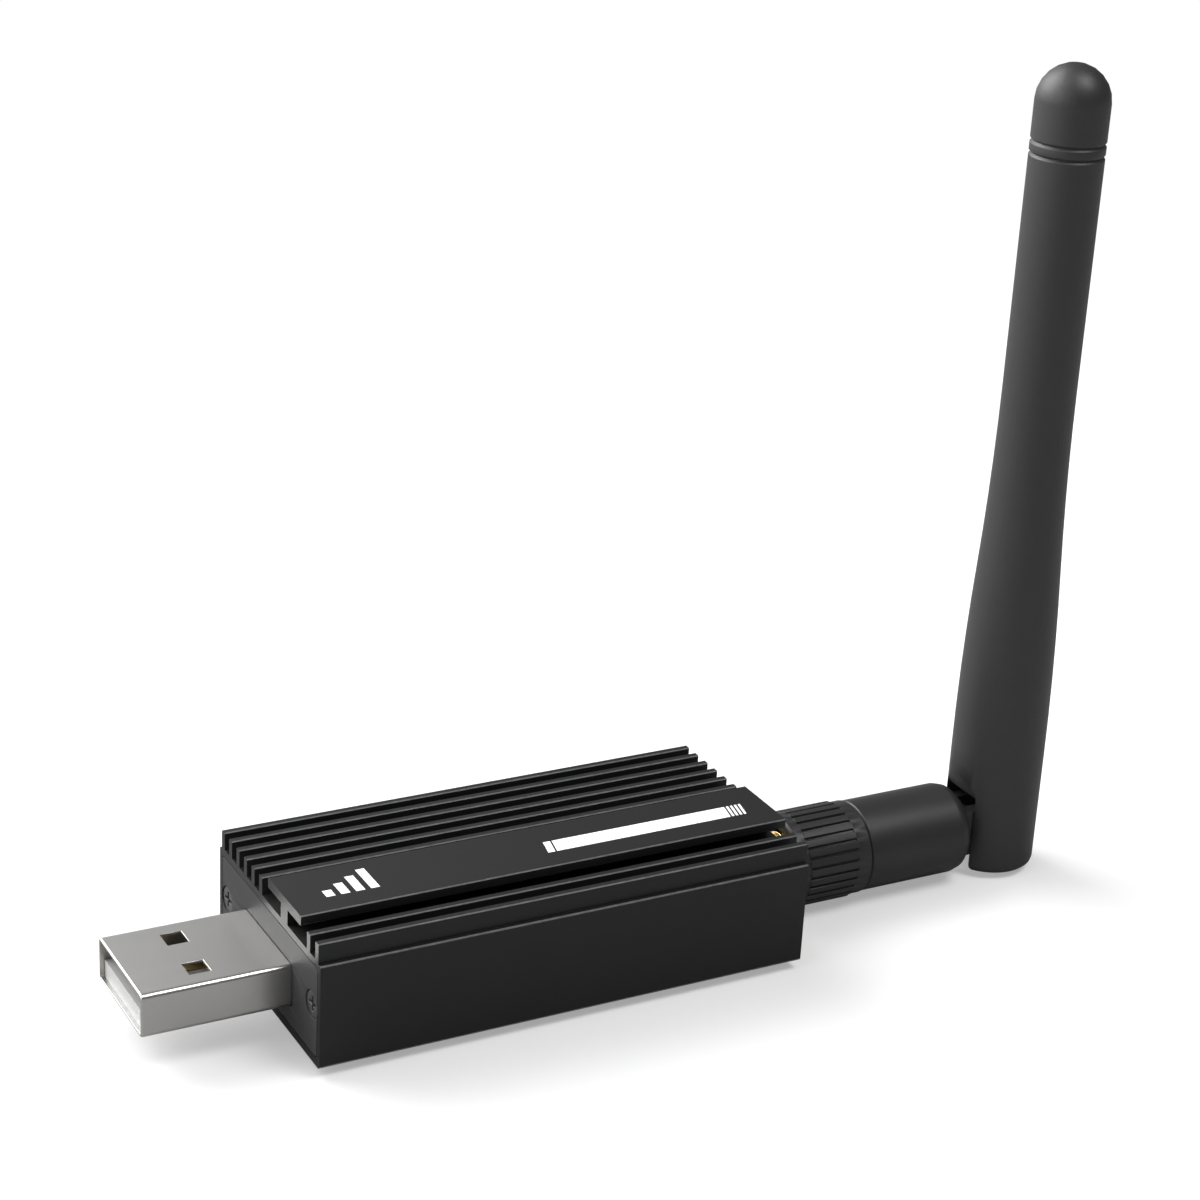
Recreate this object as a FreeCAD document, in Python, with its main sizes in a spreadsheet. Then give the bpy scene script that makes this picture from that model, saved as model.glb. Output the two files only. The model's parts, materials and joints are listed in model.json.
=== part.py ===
import FreeCAD, Part
import Sketcher
import math
import os
from types import SimpleNamespace

# Smart home USB radio stick with a screw-on antenna that tilts and swivels.
# Row frame: +X along the stick towards the antenna, +Z up.
# The origin is the centre of the flat underside of the housing.
# Lengths are millimetres, angles are degrees.

SIZES = [
    ("case_length", 52.0, "length of the finned housing along X"),
    ("case_width", 25.5, "width of the housing"),
    ("ledge_height", 10.8, "underside to the ledges outside the fins"),
    ("case_height", 11.0, "underside to the floors of the grooves"),
    ("case_edge", 0.3, "rounding of the housing's lower long edges"),
    ("ledge_edge", 0.18, "rounding of the housing's upper long edges"),
    ("side_wall", 0.6, "thickness of the side walls"),
    ("floor_wall", 0.8, "thickness of the bottom wall"),
    ("roof_wall", 0.7, "thickness of the roof between the fins"),
    ("cavity_corner", 0.6, "corner radius of the hollow"),
    ("fin_height", 1.85, "height of a cooling fin over its groove"),
    ("fin_thickness", 0.75, "thickness of a cooling fin"),
    ("fin_pitch", 1.975, "spacing of the fins"),
    ("fin_edge", 0.1, "chamfer on the fins and the platform"),
    ("far_fins", 6, "fins beyond the platform"),
    ("near_fins", 2, "fins on the near side of the platform"),
    ("platform_width", 8.1, "width of the flat platform"),
    ("platform_thickness", 1.0, "thickness of the platform"),
    ("platform_rise", 2.6, "groove floor to the top of the platform"),
    ("platform_offset", 3.95, "centre line of the platform from the middle"),
    ("stem_thickness", 1.65, "web that carries the platform"),
    ("port_inset", 2.0, "side of the housing to the middle of a screw port"),
    ("port_height", 5.9, "height of the screw ports"),
    ("port_radius", 1.5, "outer radius of a screw port"),
    ("port_core", 0.95, "core hole of a screw port"),
    ("port_slit", 0.8, "slit along the top of a screw port"),
    ("rail_reach", 1.55, "how far a board rail stands in from the wall"),
    ("plate_thickness", 1.5, "thickness of an end plate"),
    ("plate_gap", 0.1, "gap round an end plate"),
    ("screw_head_radius", 1.3, "radius of a plate screw's head"),
    ("screw_head_height", 0.9, "height of a plate screw's head"),
    ("screw_recess_radius", 1.4, "radius of the recess for the head"),
    ("screw_sink", 0.1, "how far a screw head lies below the plate"),
    ("screw_length", 6.0, "length of a plate screw under its head"),
    ("screw_radius", 0.85, "radius of a plate screw's shank"),
    ("screw_hole_gap", 0.1, "gap round the shank in the plate"),
    ("cross_length", 1.7, "length of the driver cross in the head"),
    ("cross_width", 0.38, "width of the driver cross"),
    ("cross_depth", 0.55, "depth of the driver cross"),
    ("usb_width", 12.0, "width of the plug shell"),
    ("usb_height", 4.5, "height of the plug shell"),
    ("usb_centre", 5.2, "height of the plug's middle"),
    ("usb_reach", 14.65, "plug length outside the housing"),
    ("usb_shell_length", 19.15, "whole length of the plug shell"),
    ("usb_sheet", 0.3, "sheet thickness of the plug shell"),
    ("usb_corner", 0.5, "corner radius of the plug shell"),
    ("usb_lip", 0.12, "chamfer round the plug's mouth"),
    ("usb_opening_gap", 0.1, "gap round the plug in the front plate"),
    ("window_length", 2.1, "plug window along X"),
    ("window_width", 2.2, "plug window along Y"),
    ("window_spacing", 5.9, "distance between the two windows"),
    ("window_setback", 6.4, "mouth of the plug to the windows' middle"),
    ("tongue_height", 1.84, "thickness of the plug's tongue"),
    ("tongue_setback", 0.45, "mouth of the plug to the tongue"),
    ("tongue_fit", 0.05, "gap between the tongue and the shell's sides"),
    ("tongue_block", 6.9, "length of the block behind the tongue"),
    ("contact_width", 1.0, "width of a plug contact"),
    ("contact_thickness", 0.15, "thickness of a plug contact"),
    ("outer_contact_spacing", 7.0, "distance between the outer contacts"),
    ("inner_contact_spacing", 2.0, "distance between the inner contacts"),
    ("outer_contact_setback", 1.3, "mouth of the plug to the outer contacts"),
    ("inner_contact_setback", 2.3, "mouth of the plug to the inner contacts"),
    ("contact_foot", 1.3, "length of a contact's soldered foot"),
    ("ear_reach", 1.6, "how far a shell ear stands out over the board"),
    ("ear_length", 1.6, "length of a shell ear"),
    ("ear_setback", 0.5, "front plate to a shell ear"),
    ("prong_reach", 1.45, "how far a shell prong goes down into the board"),
    ("prong_slot_gap", 0.1, "gap round a shell prong in the board"),
    ("board_thickness", 1.6, "thickness of the circuit board"),
    ("board_side_gap", 0.45, "board edge to the side wall"),
    ("board_end_gap", 0.2, "board end to the front plate"),
    ("board_notch_gap", 0.1, "gap round the plug shell in the board's notch"),
    ("board_slot_gap", 0.1, "gap between the board and the upper rail"),
    ("can_length", 13.0, "shield can along X"),
    ("can_width", 12.0, "shield can along Y"),
    ("can_height", 2.0, "height of the shield can"),
    ("can_sheet", 0.2, "sheet thickness of the shield can"),
    ("can_corner", 0.7, "corner radius of the shield can"),
    ("can_place", 14.3, "connector's back to the shield can's middle"),
    ("radio_chip_side", 7.0, "side of the radio chip"),
    ("radio_chip_height", 0.9, "height of the radio chip"),
    ("bridge_chip_side", 4.0, "side of the bridge chip"),
    ("bridge_chip_height", 0.85, "height of the bridge chip"),
    ("bridge_chip_place", 12.0, "plug's rear to the bridge chip's middle"),
    ("crystal_length", 3.2, "length of the radio crystal"),
    ("crystal_width", 1.5, "width of the radio crystal"),
    ("crystal_height", 0.7, "height of a crystal"),
    ("clock_crystal_length", 3.2, "length of the clock crystal"),
    ("clock_crystal_width", 1.5, "width of the clock crystal"),
    ("regulator_length", 2.9, "length of the voltage regulator"),
    ("regulator_width", 1.6, "width of the voltage regulator"),
    ("regulator_height", 1.1, "height of the voltage regulator"),
    ("surge_length", 1.6, "length of the surge protector"),
    ("surge_width", 2.9, "width of the surge protector"),
    ("surge_height", 1.1, "height of the surge protector"),
    ("light_length", 1.6, "length of a status light"),
    ("light_width", 0.8, "width of a status light"),
    ("light_height", 0.6, "height of a status light"),
    ("resistor_length", 1.6, "length of a chip resistor"),
    ("resistor_width", 0.8, "width of a chip resistor"),
    ("resistor_height", 0.45, "height of a chip resistor"),
    ("capacitor_length", 1.6, "length of a chip capacitor"),
    ("capacitor_width", 0.8, "width of a chip capacitor"),
    ("capacitor_height", 0.8, "height of a chip capacitor"),
    ("coil_length", 1.0, "length of a matching coil"),
    ("coil_width", 0.6, "width of a matching coil"),
    ("coil_height", 0.5, "height of a matching coil"),
    ("switch_length", 3.9, "length of a push switch"),
    ("switch_width", 3.0, "width of a push switch"),
    ("switch_height", 1.6, "height of a push switch's body"),
    ("switch_place", 3.0, "push switches' distance before the board's middle"),
    ("switch_port_gap", 0.75, "gap between a push switch and the screw port beside it"),
    ("plunger_radius", 0.8, "radius of a switch plunger"),
    ("plunger_gap", 0.05, "running gap round a plunger"),
    ("plunger_rise", 0.45, "plunger top over the switch body"),
    ("plunger_length", 1.1, "length of a plunger"),
    ("plunger_room", 0.4, "free room under a plunger at rest"),
    ("coax_height", 4.11, "height of the antenna connector's axis"),
    ("thread_radius", 3.175, "outside of the connector's thread"),
    ("jack_reach", 11.35, "rear plate to the connector's front"),
    ("jack_hole_gap", 0.1, "gap round the connector in the rear plate"),
    ("jack_flat", 2.85, "axis to the flat under the connector's thread"),
    ("jack_flange_width", 9.5, "width of the connector's flange"),
    ("jack_flange_height", 6.0, "height of the connector's flange"),
    ("jack_flange_thickness", 1.7, "thickness of the connector's flange"),
    ("jack_leg_length", 4.0, "length of the connector's board legs"),
    ("jack_leg_width", 1.0, "width of a board leg"),
    ("jack_leg_height", 0.85, "height of a board leg"),
    ("jack_leg_spacing", 6.2, "distance between the board legs"),
    ("jack_counterbore_radius", 2.35, "counterbore in the connector's front"),
    ("jack_counterbore_depth", 1.9, "depth of that counterbore"),
    ("jack_bore_radius", 2.05, "bore that holds the connector's insulator"),
    ("jack_lead_in", 0.3, "chamfer at the start of the thread"),
    ("socket_radius", 0.635, "outside of the centre socket"),
    ("socket_bore_radius", 0.5, "bore of the centre socket"),
    ("socket_bore_depth", 3.0, "depth of the centre socket's bore"),
    ("tail_radius", 0.4, "radius of the centre contact's soldered tail"),
    ("tail_length", 2.4, "length of the soldered tail"),
    ("washer_radius", 4.3, "radius of the washer on the connector"),
    ("washer_thickness", 0.5, "thickness of that washer"),
    ("washer_bore_gap", 0.1, "gap between the thread and the washer or nut"),
    ("jack_nut_flats", 8.0, "jack nut across its flats"),
    ("jack_nut_thickness", 1.9, "thickness of the jack nut"),
    ("jack_nut_gap", 0.03, "gap between the jack nut and the thread"),
    ("sleeve_standoff", 4.45, "rear plate to the coupling nut"),
    ("sleeve_length", 8.8, "length of the coupling nut's sleeve"),
    ("sleeve_radius", 5.1, "outside of the splined part"),
    ("sleeve_shoulder_radius", 5.02, "outside of the smooth front band"),
    ("sleeve_shoulder_length", 1.3, "length of the smooth front band"),
    ("sleeve_spline_length", 5.95, "length of the splined part"),
    ("sleeve_collar_radius", 4.93, "outside of the smooth collar"),
    ("sleeve_edge", 0.25, "chamfer at the sleeve's front"),
    ("sleeve_mouth_radius", 3.7, "bore of the sleeve's mouth"),
    ("sleeve_tail_bore", 2.62, "bore of the sleeve's rear wall"),
    ("spline_count", 30, "grooves round the sleeve"),
    ("spline_width", 0.38, "width of a groove"),
    ("spline_depth", 0.3, "depth of a groove"),
    ("spline_phase", 5.0, "turn of the first groove from the top"),
    ("insert_flats", 7.4, "threaded insert across its flats"),
    ("insert_fit", 0.02, "gap between the insert and its sleeve"),
    ("insert_lip_thickness", 0.75, "lip that pulls the antenna home"),
    ("insert_lip_gap", 0.05, "lip to the flange of the ferrule"),
    ("thread_gap", 0.05, "gap between insert and connector thread"),
    ("thread_engagement", 4.25, "length of thread that is engaged"),
    ("ferrule_nose_radius", 2.27, "outside of the ferrule's nose"),
    ("ferrule_seat_gap", 0.05, "ferrule's nose to its seat"),
    ("ferrule_flange_gap", 0.1, "connector's front to the ferrule's flange"),
    ("ferrule_flange_radius", 3.0, "radius of the ferrule's flange"),
    ("ferrule_flange_thickness", 0.55, "thickness of the ferrule's flange"),
    ("journal_radius", 2.5, "journal that the elbow swivels on"),
    ("journal_gap", 0.05, "running gap on the journal"),
    ("journal_depth", 6.55, "journal length inside the elbow"),
    ("barb_radius", 2.75, "ring that keeps the elbow on its journal"),
    ("barb_length", 0.4, "length of that ring"),
    ("barb_room", 0.1, "room along X beside that ring"),
    ("barb_inset", 0.9, "rear of the journal to that ring"),
    ("ferrule_bore_radius", 2.02, "bore that holds the antenna's insulator"),
    ("insulator_length", 6.5, "length of the antenna's insulator"),
    ("insulator_fit", 0.02, "gap round an insulator"),
    ("pin_radius", 0.45, "radius of the antenna's centre pin"),
    ("pin_reach", 2.2, "how far the pin stands out of its insulator"),
    ("pin_tail", 0.6, "how far the pin stands out behind"),
    ("pin_point", 0.25, "chamfer on the pin's tip"),
    ("cable_radius", 0.9, "radius of the feed cable"),
    ("cable_gap", 0.05, "gap round the feed cable"),
    ("cable_bend", 3.5, "bend radius of the feed cable at the hinge"),
    ("cable_inset", 0.2, "pin's tail to the cable's end"),
    ("swivel_gap", 0.2, "gap between the sleeve and the elbow"),
    ("elbow_radius", 4.845, "radius of the elbow"),
    ("elbow_length", 13.05, "length of the elbow's round part"),
    ("elbow_rounding", 1.7, "rounding of the elbow's free end"),
    ("elbow_edge", 0.15, "chamfer at the elbow's seam"),
    ("elbow_bore_radius", 1.1, "cable bore of the elbow"),
    ("hinge_offset", 5.2, "elbow's end to the hinge axis"),
    ("ear_room", 0.15, "gap between the elbow's end and the whip's ears as they swing past"),
    ("tongue_half", 2.5, "half thickness of the elbow's tongue"),
    ("tongue_radius", 2.6, "radius of the tongue's end"),
    ("tongue_root", 3.0, "how far the tongue's root goes into the elbow"),
    ("trunnion_radius", 1.25, "radius of the hinge studs"),
    ("trunnion_reach", 1.15, "how far a stud stands out of the tongue"),
    ("trunnion_gap", 0.05, "running gap round a hinge stud"),
    ("trunnion_end_gap", 0.1, "gap at the end of a hinge stud"),
    ("channel_half", 1.1, "half width of the cable channel"),
    ("channel_root", 4.3, "hinge axis to the root of the channel"),
    ("ear_gap", 0.1, "gap between the tongue and an ear"),
    ("slot_radius", 3.85, "slot's inner end round the hinge axis"),
    ("slot_bevel_start", 3.9, "hinge axis to the bevel over the slot"),
    ("slot_bevel_slope", 2.0, "rise of that bevel over its run"),
    ("whip_base_radius", 4.95, "radius of the whip's lower part"),
    ("whip_drop", 4.58, "hinge axis down to the whip's lower end"),
    ("whip_base_rounding", 0.8, "rounding of the whip's lower end"),
    ("whip_straight", 9.0, "hinge axis to the start of the taper"),
    ("whip_taper", 40.0, "length of the taper"),
    ("whip_tip_radius", 3.79, "radius of the whip's upper part"),
    ("whip_reach", 82.1, "hinge axis to the tip"),
    ("ring_place", 8.4, "tip to the middle of the two rings"),
    ("ring_spacing", 1.25, "distance between the two rings"),
    ("ring_width", 0.5, "width of a ring groove"),
    ("ring_depth", 0.25, "depth of a ring groove"),
    ("cavity_radius", 2.5, "bore of the whip"),
    ("cavity_end", 6.0, "closed length over the whip's bore"),
    ("bush_gap", 0.05, "gap between a bush and the whip's bore"),
    ("bush_length", 2.0, "length of a bush"),
    ("lower_bush_place", 5.2, "hinge axis to the lower bush"),
    ("skirt_radius", 2.3, "radius of the brass skirt"),
    ("skirt_wall", 0.2, "wall of the brass skirt"),
    ("skirt_place", 16.0, "hinge axis to the brass skirt"),
    ("skirt_length", 23.0, "length of the brass skirt"),
    ("rod_radius", 0.45, "radius of the upper radiator rod"),
    ("rod_length", 27.0, "length of the upper radiator rod"),
    ("rod_gap", 0.2, "skirt to the rod's end"),
    ("rod_inset", 0.5, "rod's end over its bush"),
    ("rod_bush_gap", 0.05, "gap between the rod and its bush"),
]

# Places of the small pieces on the board as (along X, along Y).
# The plug's group is placed from the plug's rear, towards the antenna.
PLUG_RESISTORS = [(4.5, 5.2), (4.5, 7.0), (8.1, 3.8), (8.1, -3.8)]
PLUG_CAPACITORS = [(8.1, 6.9), (12.0, 8.6), (12.0, -4.0), (12.0, -5.6)]
REGULATOR_PLACE = (4.5, -8.0)
SURGE_PLACE = (4.2, 0.0)
# The middle group is placed from the board's middle.
MIDDLE_RESISTORS = [(-6.5, 6.4), (-6.5, 5.0)]
MIDDLE_CAPACITORS = [(-6.5, -6.6)]
CLOCK_CRYSTAL_PLACE = (-2.0, 0.0)
# The radio's group is placed from the connector's back, towards the plug.
RADIO_CAPACITORS = [(-22.4, 3.0), (-22.4, -3.0)]
COIL_PLACES = [(-6.5, 0.0), (-6.5, 1.4), (-6.5, -1.4)]
LIGHT_PLACES = [(-4.8, 8.0), (-4.8, -8.0)]
# Steps along Y from the middle of the shield can.
RADIO_CHIP_SHIFT = -0.8
RADIO_CRYSTAL_SHIFT = 4.6
# A cut that leaves through a surface reaches past it by this share of its size.
PAST = 1.2
# Straight steps of the roundings on turned pieces.
ELBOW_ROUND_STEPS = 3
ELBOW_DISH_STEPS = 3
WHIP_BASE_STEPS = 3
WHIP_TIP_STEPS = 6
# The foot of a groove in the splined sleeve as a share of its width at the surface.
SPLINE_FOOT = 0.5

os.makedirs("parts", exist_ok=True)
doc = FreeCAD.newDocument("usb_radio_stick")
sheet = doc.addObject("Spreadsheet::Sheet", "dims")


class Size:
    """A size with its number and the sheet formula that gives it."""

    def __init__(self, value, formula):
        self.value = float(value)
        self.formula = formula

    def __add__(self, other):
        other = as_size(other)
        return Size(self.value + other.value, f"({self.formula} + {other.formula})")

    def __sub__(self, other):
        other = as_size(other)
        return Size(self.value - other.value, f"({self.formula} - {other.formula})")

    def __mul__(self, other):
        other = as_size(other)
        return Size(self.value * other.value, f"({self.formula} * {other.formula})")

    def __truediv__(self, other):
        other = as_size(other)
        return Size(self.value / other.value, f"({self.formula} / {other.formula})")

    def __neg__(self):
        return Size(-self.value, f"(-1 * {self.formula})")


def root(size):
    """The square root of a size."""
    return Size(math.sqrt(size.value), f"sqrt({size.formula})")


def as_size(number):
    """Turns a plain number into a size and leaves a size as it is."""
    if isinstance(number, Size):
        return number
    return Size(number, f"({number})")


for row, (alias, number, note) in enumerate(SIZES, start=1):
    sheet.set(f"A{row}", alias)
    sheet.set(f"B{row}", str(number))
    sheet.setAlias(f"B{row}", alias)
    sheet.set(f"C{row}", note)
doc.recompute()
d = SimpleNamespace(**{alias: Size(number, f"dims.{alias}") for alias, number, _ in SIZES})

# Places that several pieces share.
case_end = d.case_length / 2
plate_inner = case_end - d.plate_thickness
cavity_half = d.case_width / 2 - d.side_wall
cavity_top = d.case_height - d.roof_wall
board_top = d.coax_height - d.tail_radius
board_bottom = board_top - d.board_thickness
board_half = cavity_half - d.board_side_gap
usb_mouth = -(case_end + d.usb_reach)
usb_rear = usb_mouth + d.usb_shell_length
usb_bottom = d.usb_centre - d.usb_height / 2
usb_top = d.usb_centre + d.usb_height / 2
tongue_top = usb_bottom + d.usb_sheet + d.tongue_height
block_front = usb_rear - d.tongue_block
jack_front = case_end + d.jack_reach
seat_plane = jack_front - d.jack_counterbore_depth
jack_back = plate_inner - d.jack_flange_thickness
can_middle = jack_back - d.can_place
port_place = d.case_width / 2 - d.port_inset
sleeve_front = case_end + d.sleeve_standoff
sleeve_rear = sleeve_front + d.sleeve_length
insert_front = jack_front - d.thread_engagement
flange_front = jack_front + d.ferrule_flange_gap
flange_rear = flange_front + d.ferrule_flange_thickness
lip_front = flange_rear + d.insert_lip_gap
insert_rear = lip_front + d.insert_lip_thickness
elbow_front = sleeve_rear + d.swivel_gap
elbow_end = elbow_front + d.elbow_length
hinge_place = elbow_end + d.hinge_offset
nose_front = seat_plane + d.ferrule_seat_gap
insulator_rear = nose_front + d.insulator_length
journal_rear = elbow_front + d.journal_depth
barb_rear = journal_rear - d.barb_inset
barb_front = barb_rear - d.barb_length
pin_rear = insulator_rear + d.pin_tail
cable_start = pin_rear + d.cable_inset
slot_half = d.tongue_half + d.ear_gap
ear_flat = d.whip_base_radius - d.whip_base_rounding
ear_straight = d.whip_drop - d.whip_base_rounding
ear_sweep = root(ear_flat * ear_flat + ear_straight * ear_straight) + d.whip_base_rounding
skirt_top = d.skirt_place + d.skirt_length
rod_bottom = skirt_top + d.rod_gap
rod_top = rod_bottom + d.rod_length

sub_parts = []


def keep(piece, name):
    """Gives a finished sub-part its name and lists it for the export."""
    piece.Label = name
    sub_parts.append(piece)
    return piece


def bind(target, prop, size):
    """Ties a property of an object to the sheet."""
    target.setExpression(prop, as_size(size).formula)


def place(piece, x=0, y=0, z=0):
    """Ties an object's place to the sheet."""
    for axis, size in (("x", x), ("y", y), ("z", z)):
        bind(piece, f"Placement.Base.{axis}", size)
    return piece


def new_body(name, x=0, y=0, z=0):
    """Makes a body whose own frame stands at the given place."""
    body = doc.addObject("PartDesign::Body", name)
    return place(body, x, y, z)


def origin_feature(body, role):
    """Finds one of a body's own origin planes or axes."""
    return [f for f in body.Origin.OriginFeatures if f.Role == role][0]


class Profile:
    """A sketch on one of a body's origin planes, with its points tied to the sheet."""

    def __init__(self, body, name, plane, offset=0):
        self.body = body
        self.sketch = body.newObject("Sketcher::SketchObject", name)
        self.sketch.AttachmentSupport = (origin_feature(body, plane), [""])
        self.sketch.MapMode = "FlatFace"
        bind(self.sketch, "AttachmentOffset.Base.z", offset)

    def tie(self, kind, size, *where):
        """Adds a dimension and ties it to the sheet."""
        size = as_size(size)
        index = self.sketch.addConstraint(Sketcher.Constraint(kind, *where, size.value))
        self.sketch.setExpression(f"Constraints[{index}]", size.formula)

    def pin(self, geometry, point, x, y):
        """Ties one point of the sketch to its two coordinates."""
        for kind, size, axis in (("DistanceX", x, -2), ("DistanceY", y, -1)):
            if isinstance(size, (int, float)) and size == 0:
                self.sketch.addConstraint(Sketcher.Constraint("PointOnObject", geometry, point, axis))
            else:
                self.tie(kind, size, -1, 1, geometry, point)

    def circle(self, x, y, radius):
        """Draws a circle."""
        centre = vector(x, y)
        shape = Part.Circle(centre, FreeCAD.Vector(0, 0, 1), as_size(radius).value)
        geometry = self.sketch.addGeometry(shape, False)
        self.tie("Radius", radius, geometry)
        self.pin(geometry, 3, x, y)
        return self

    def outline(self, corners):
        """Draws a closed outline from corners (x, y), or (x, y, radius) where an arc leads to the next one.

        A positive radius turns to the left on the way, and a negative one to the right.
        """
        ends = []
        for index, corner in enumerate(corners):
            following = corners[(index + 1) % len(corners)]
            start = vector(corner[0], corner[1])
            finish = vector(following[0], following[1])
            if len(corner) == 2:
                geometry = self.sketch.addGeometry(Part.LineSegment(start, finish), False)
                ends.append((geometry, 1, 2))
                continue
            radius = as_size(corner[2])
            left = radius.value > 0
            reach = abs(radius.value)
            arc = arc_between(start, finish, reach, left)
            geometry = self.sketch.addGeometry(arc, False)
            size = radius if left else -radius
            self.tie("Radius", size, geometry)
            ends.append((geometry, 1, 2) if left else (geometry, 2, 1))
        for index, (geometry, first, last) in enumerate(ends):
            following = ends[(index + 1) % len(ends)]
            self.sketch.addConstraint(
                Sketcher.Constraint("Coincident", geometry, last, following[0], following[1])
            )
            self.pin(geometry, first, corners[index][0], corners[index][1])
        return self

    def rectangle(self, left, right, low, high):
        """Draws a rectangle between four limits."""
        return self.outline([(left, low), (right, low), (right, high), (left, high)])

    def rounded_rectangle(self, left, right, low, high, radius):
        """Draws a rectangle with round corners."""
        left, right, low, high = (as_size(s) for s in (left, right, low, high))
        return self.outline(
            [
                (left + radius, low),
                (right - radius, low, radius),
                (right, low + radius),
                (right, high - radius, radius),
                (right - radius, high),
                (left + radius, high, radius),
                (left, high - radius),
                (left, low + radius, radius),
            ]
        )

    def feature(self, kind, length=None, flip=False):
        """Makes a feature of the body from this sketch."""
        made = self.body.newObject(f"PartDesign::{kind}", self.sketch.Name + "_" + kind.lower())
        made.Profile = self.sketch
        if length is not None:
            bind(made, "Length", length)
            made.Reversed = flip
        self.sketch.Visibility = False
        return made

    def pad(self, length, flip=False):
        """Raises the sketch along its normal."""
        return self.feature("Pad", length, flip)

    def pocket(self, depth, flip=False):
        """Cuts the sketch against its normal, or along it if flipped."""
        return self.feature("Pocket", depth, flip)

    def revolve(self, axis):
        """Turns the sketch about its H_Axis or V_Axis."""
        made = self.feature("Revolution")
        made.ReferenceAxis = (self.sketch, [axis])
        made.Angle = 360.0
        return made

    def groove(self, axis):
        """Cuts the sketch all round its H_Axis or V_Axis."""
        made = self.feature("Groove")
        made.ReferenceAxis = (self.sketch, [axis])
        made.Angle = 360.0
        return made


def vector(x, y):
    """The point of a sketch that two sizes give now."""
    return FreeCAD.Vector(as_size(x).value, as_size(y).value, 0)


def arc_between(start, finish, radius, left):
    """The short arc of a radius between two points, which turns left or right on its way."""
    chord = finish - start
    half = chord.Length / 2
    height = math.sqrt(max(radius * radius - half * half, 0.0))
    normal = FreeCAD.Vector(-chord.y, chord.x, 0)
    normal.normalize()
    side = 1 if left else -1
    centre = (start + finish) * 0.5 + normal * (height * side)
    first, last = (start, finish) if left else (finish, start)
    angle_first = math.atan2(first.y - centre.y, first.x - centre.x)
    angle_last = math.atan2(last.y - centre.y, last.x - centre.x)
    circle = Part.Circle(centre, FreeCAD.Vector(0, 0, 1), radius)
    return Part.ArcOfCircle(circle, angle_first, angle_last)


def pattern(body, kind, feature, axis_role, count, reach):
    """Repeats a feature along or round one of the body's own axes."""
    made = body.newObject(f"PartDesign::{kind}", feature.Name + "_repeat")
    made.Originals = [feature]
    if kind == "PolarPattern":
        made.Axis = (origin_feature(body, axis_role), [""])
        made.Angle = 360.0
    else:
        made.Direction = (origin_feature(body, axis_role), [""])
        bind(made, "Length", reach)
    bind(made, "Occurrences", count)
    body.Tip = made
    return made


def rounding(body, feature, size, wanted, kind="Fillet"):
    """Rounds or chamfers the edges of a feature that a test picks out."""
    doc.recompute()
    names = [f"Edge{i}" for i, edge in enumerate(feature.Shape.Edges, start=1) if wanted(edge)]
    made = body.newObject(f"PartDesign::{kind}", feature.Name + "_" + kind.lower())
    made.Base = (feature, names)
    bind(made, "Radius" if kind == "Fillet" else "Size", size)
    body.Tip = made
    return made


def round_off(x, y, radius, first, last, steps):
    """The corners of a rounding about (x, y) that goes from one angle to another in straight steps."""
    turns = [math.radians(first + (last - first) * step / steps) for step in range(steps + 1)]
    return [(x + radius * round(math.cos(t), 6), y + radius * round(math.sin(t), 6)) for t in turns]


def runs_along(edge, axis):
    """Whether an edge is straight and lies along an axis."""
    first, last = edge.Vertexes[0].Point, edge.Vertexes[-1].Point
    span = last - first
    if edge.Curve.TypeId != "Part::GeomLine" or span.Length == 0:
        return False
    return abs(abs(span.dot(axis)) / span.Length - 1) < 1e-6


ALONG_X = FreeCAD.Vector(1, 0, 0)


def near(value, size):
    """Whether a coordinate is at a size's place."""
    return abs(value - as_size(size).value) < 1e-4


def block(name, length, width, height, x, y, z):
    """A box centred over a point, with its underside at z."""
    box = doc.addObject("Part::Box", name)
    bind(box, "Length", length)
    bind(box, "Width", width)
    bind(box, "Height", height)
    length, width = as_size(length), as_size(width)
    return place(box, as_size(x) - length / 2, as_size(y) - width / 2, z)


def rod(name, radius, height, x, y, z):
    """An upright cylinder that stands on z."""
    cylinder = doc.addObject("Part::Cylinder", name)
    bind(cylinder, "Radius", radius)
    bind(cylinder, "Height", height)
    return place(cylinder, x, y, z)


def minus(name, base, tool):
    """The base without the tool."""
    cut = doc.addObject("Part::Cut", name)
    cut.Base = base
    cut.Tool = tool
    return cut


def group(name, members):
    """Several separate solids in one node."""
    compound = doc.addObject("Part::Compound", name)
    compound.Links = members
    return keep(compound, name)


def mirrored(name, source, normal):
    """A mirror image through the middle of the stick."""
    image = doc.addObject("Part::Mirroring", name)
    image.Source = source
    image.Base = FreeCAD.Vector(0, 0, 0)
    image.Normal = normal
    return image


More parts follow.
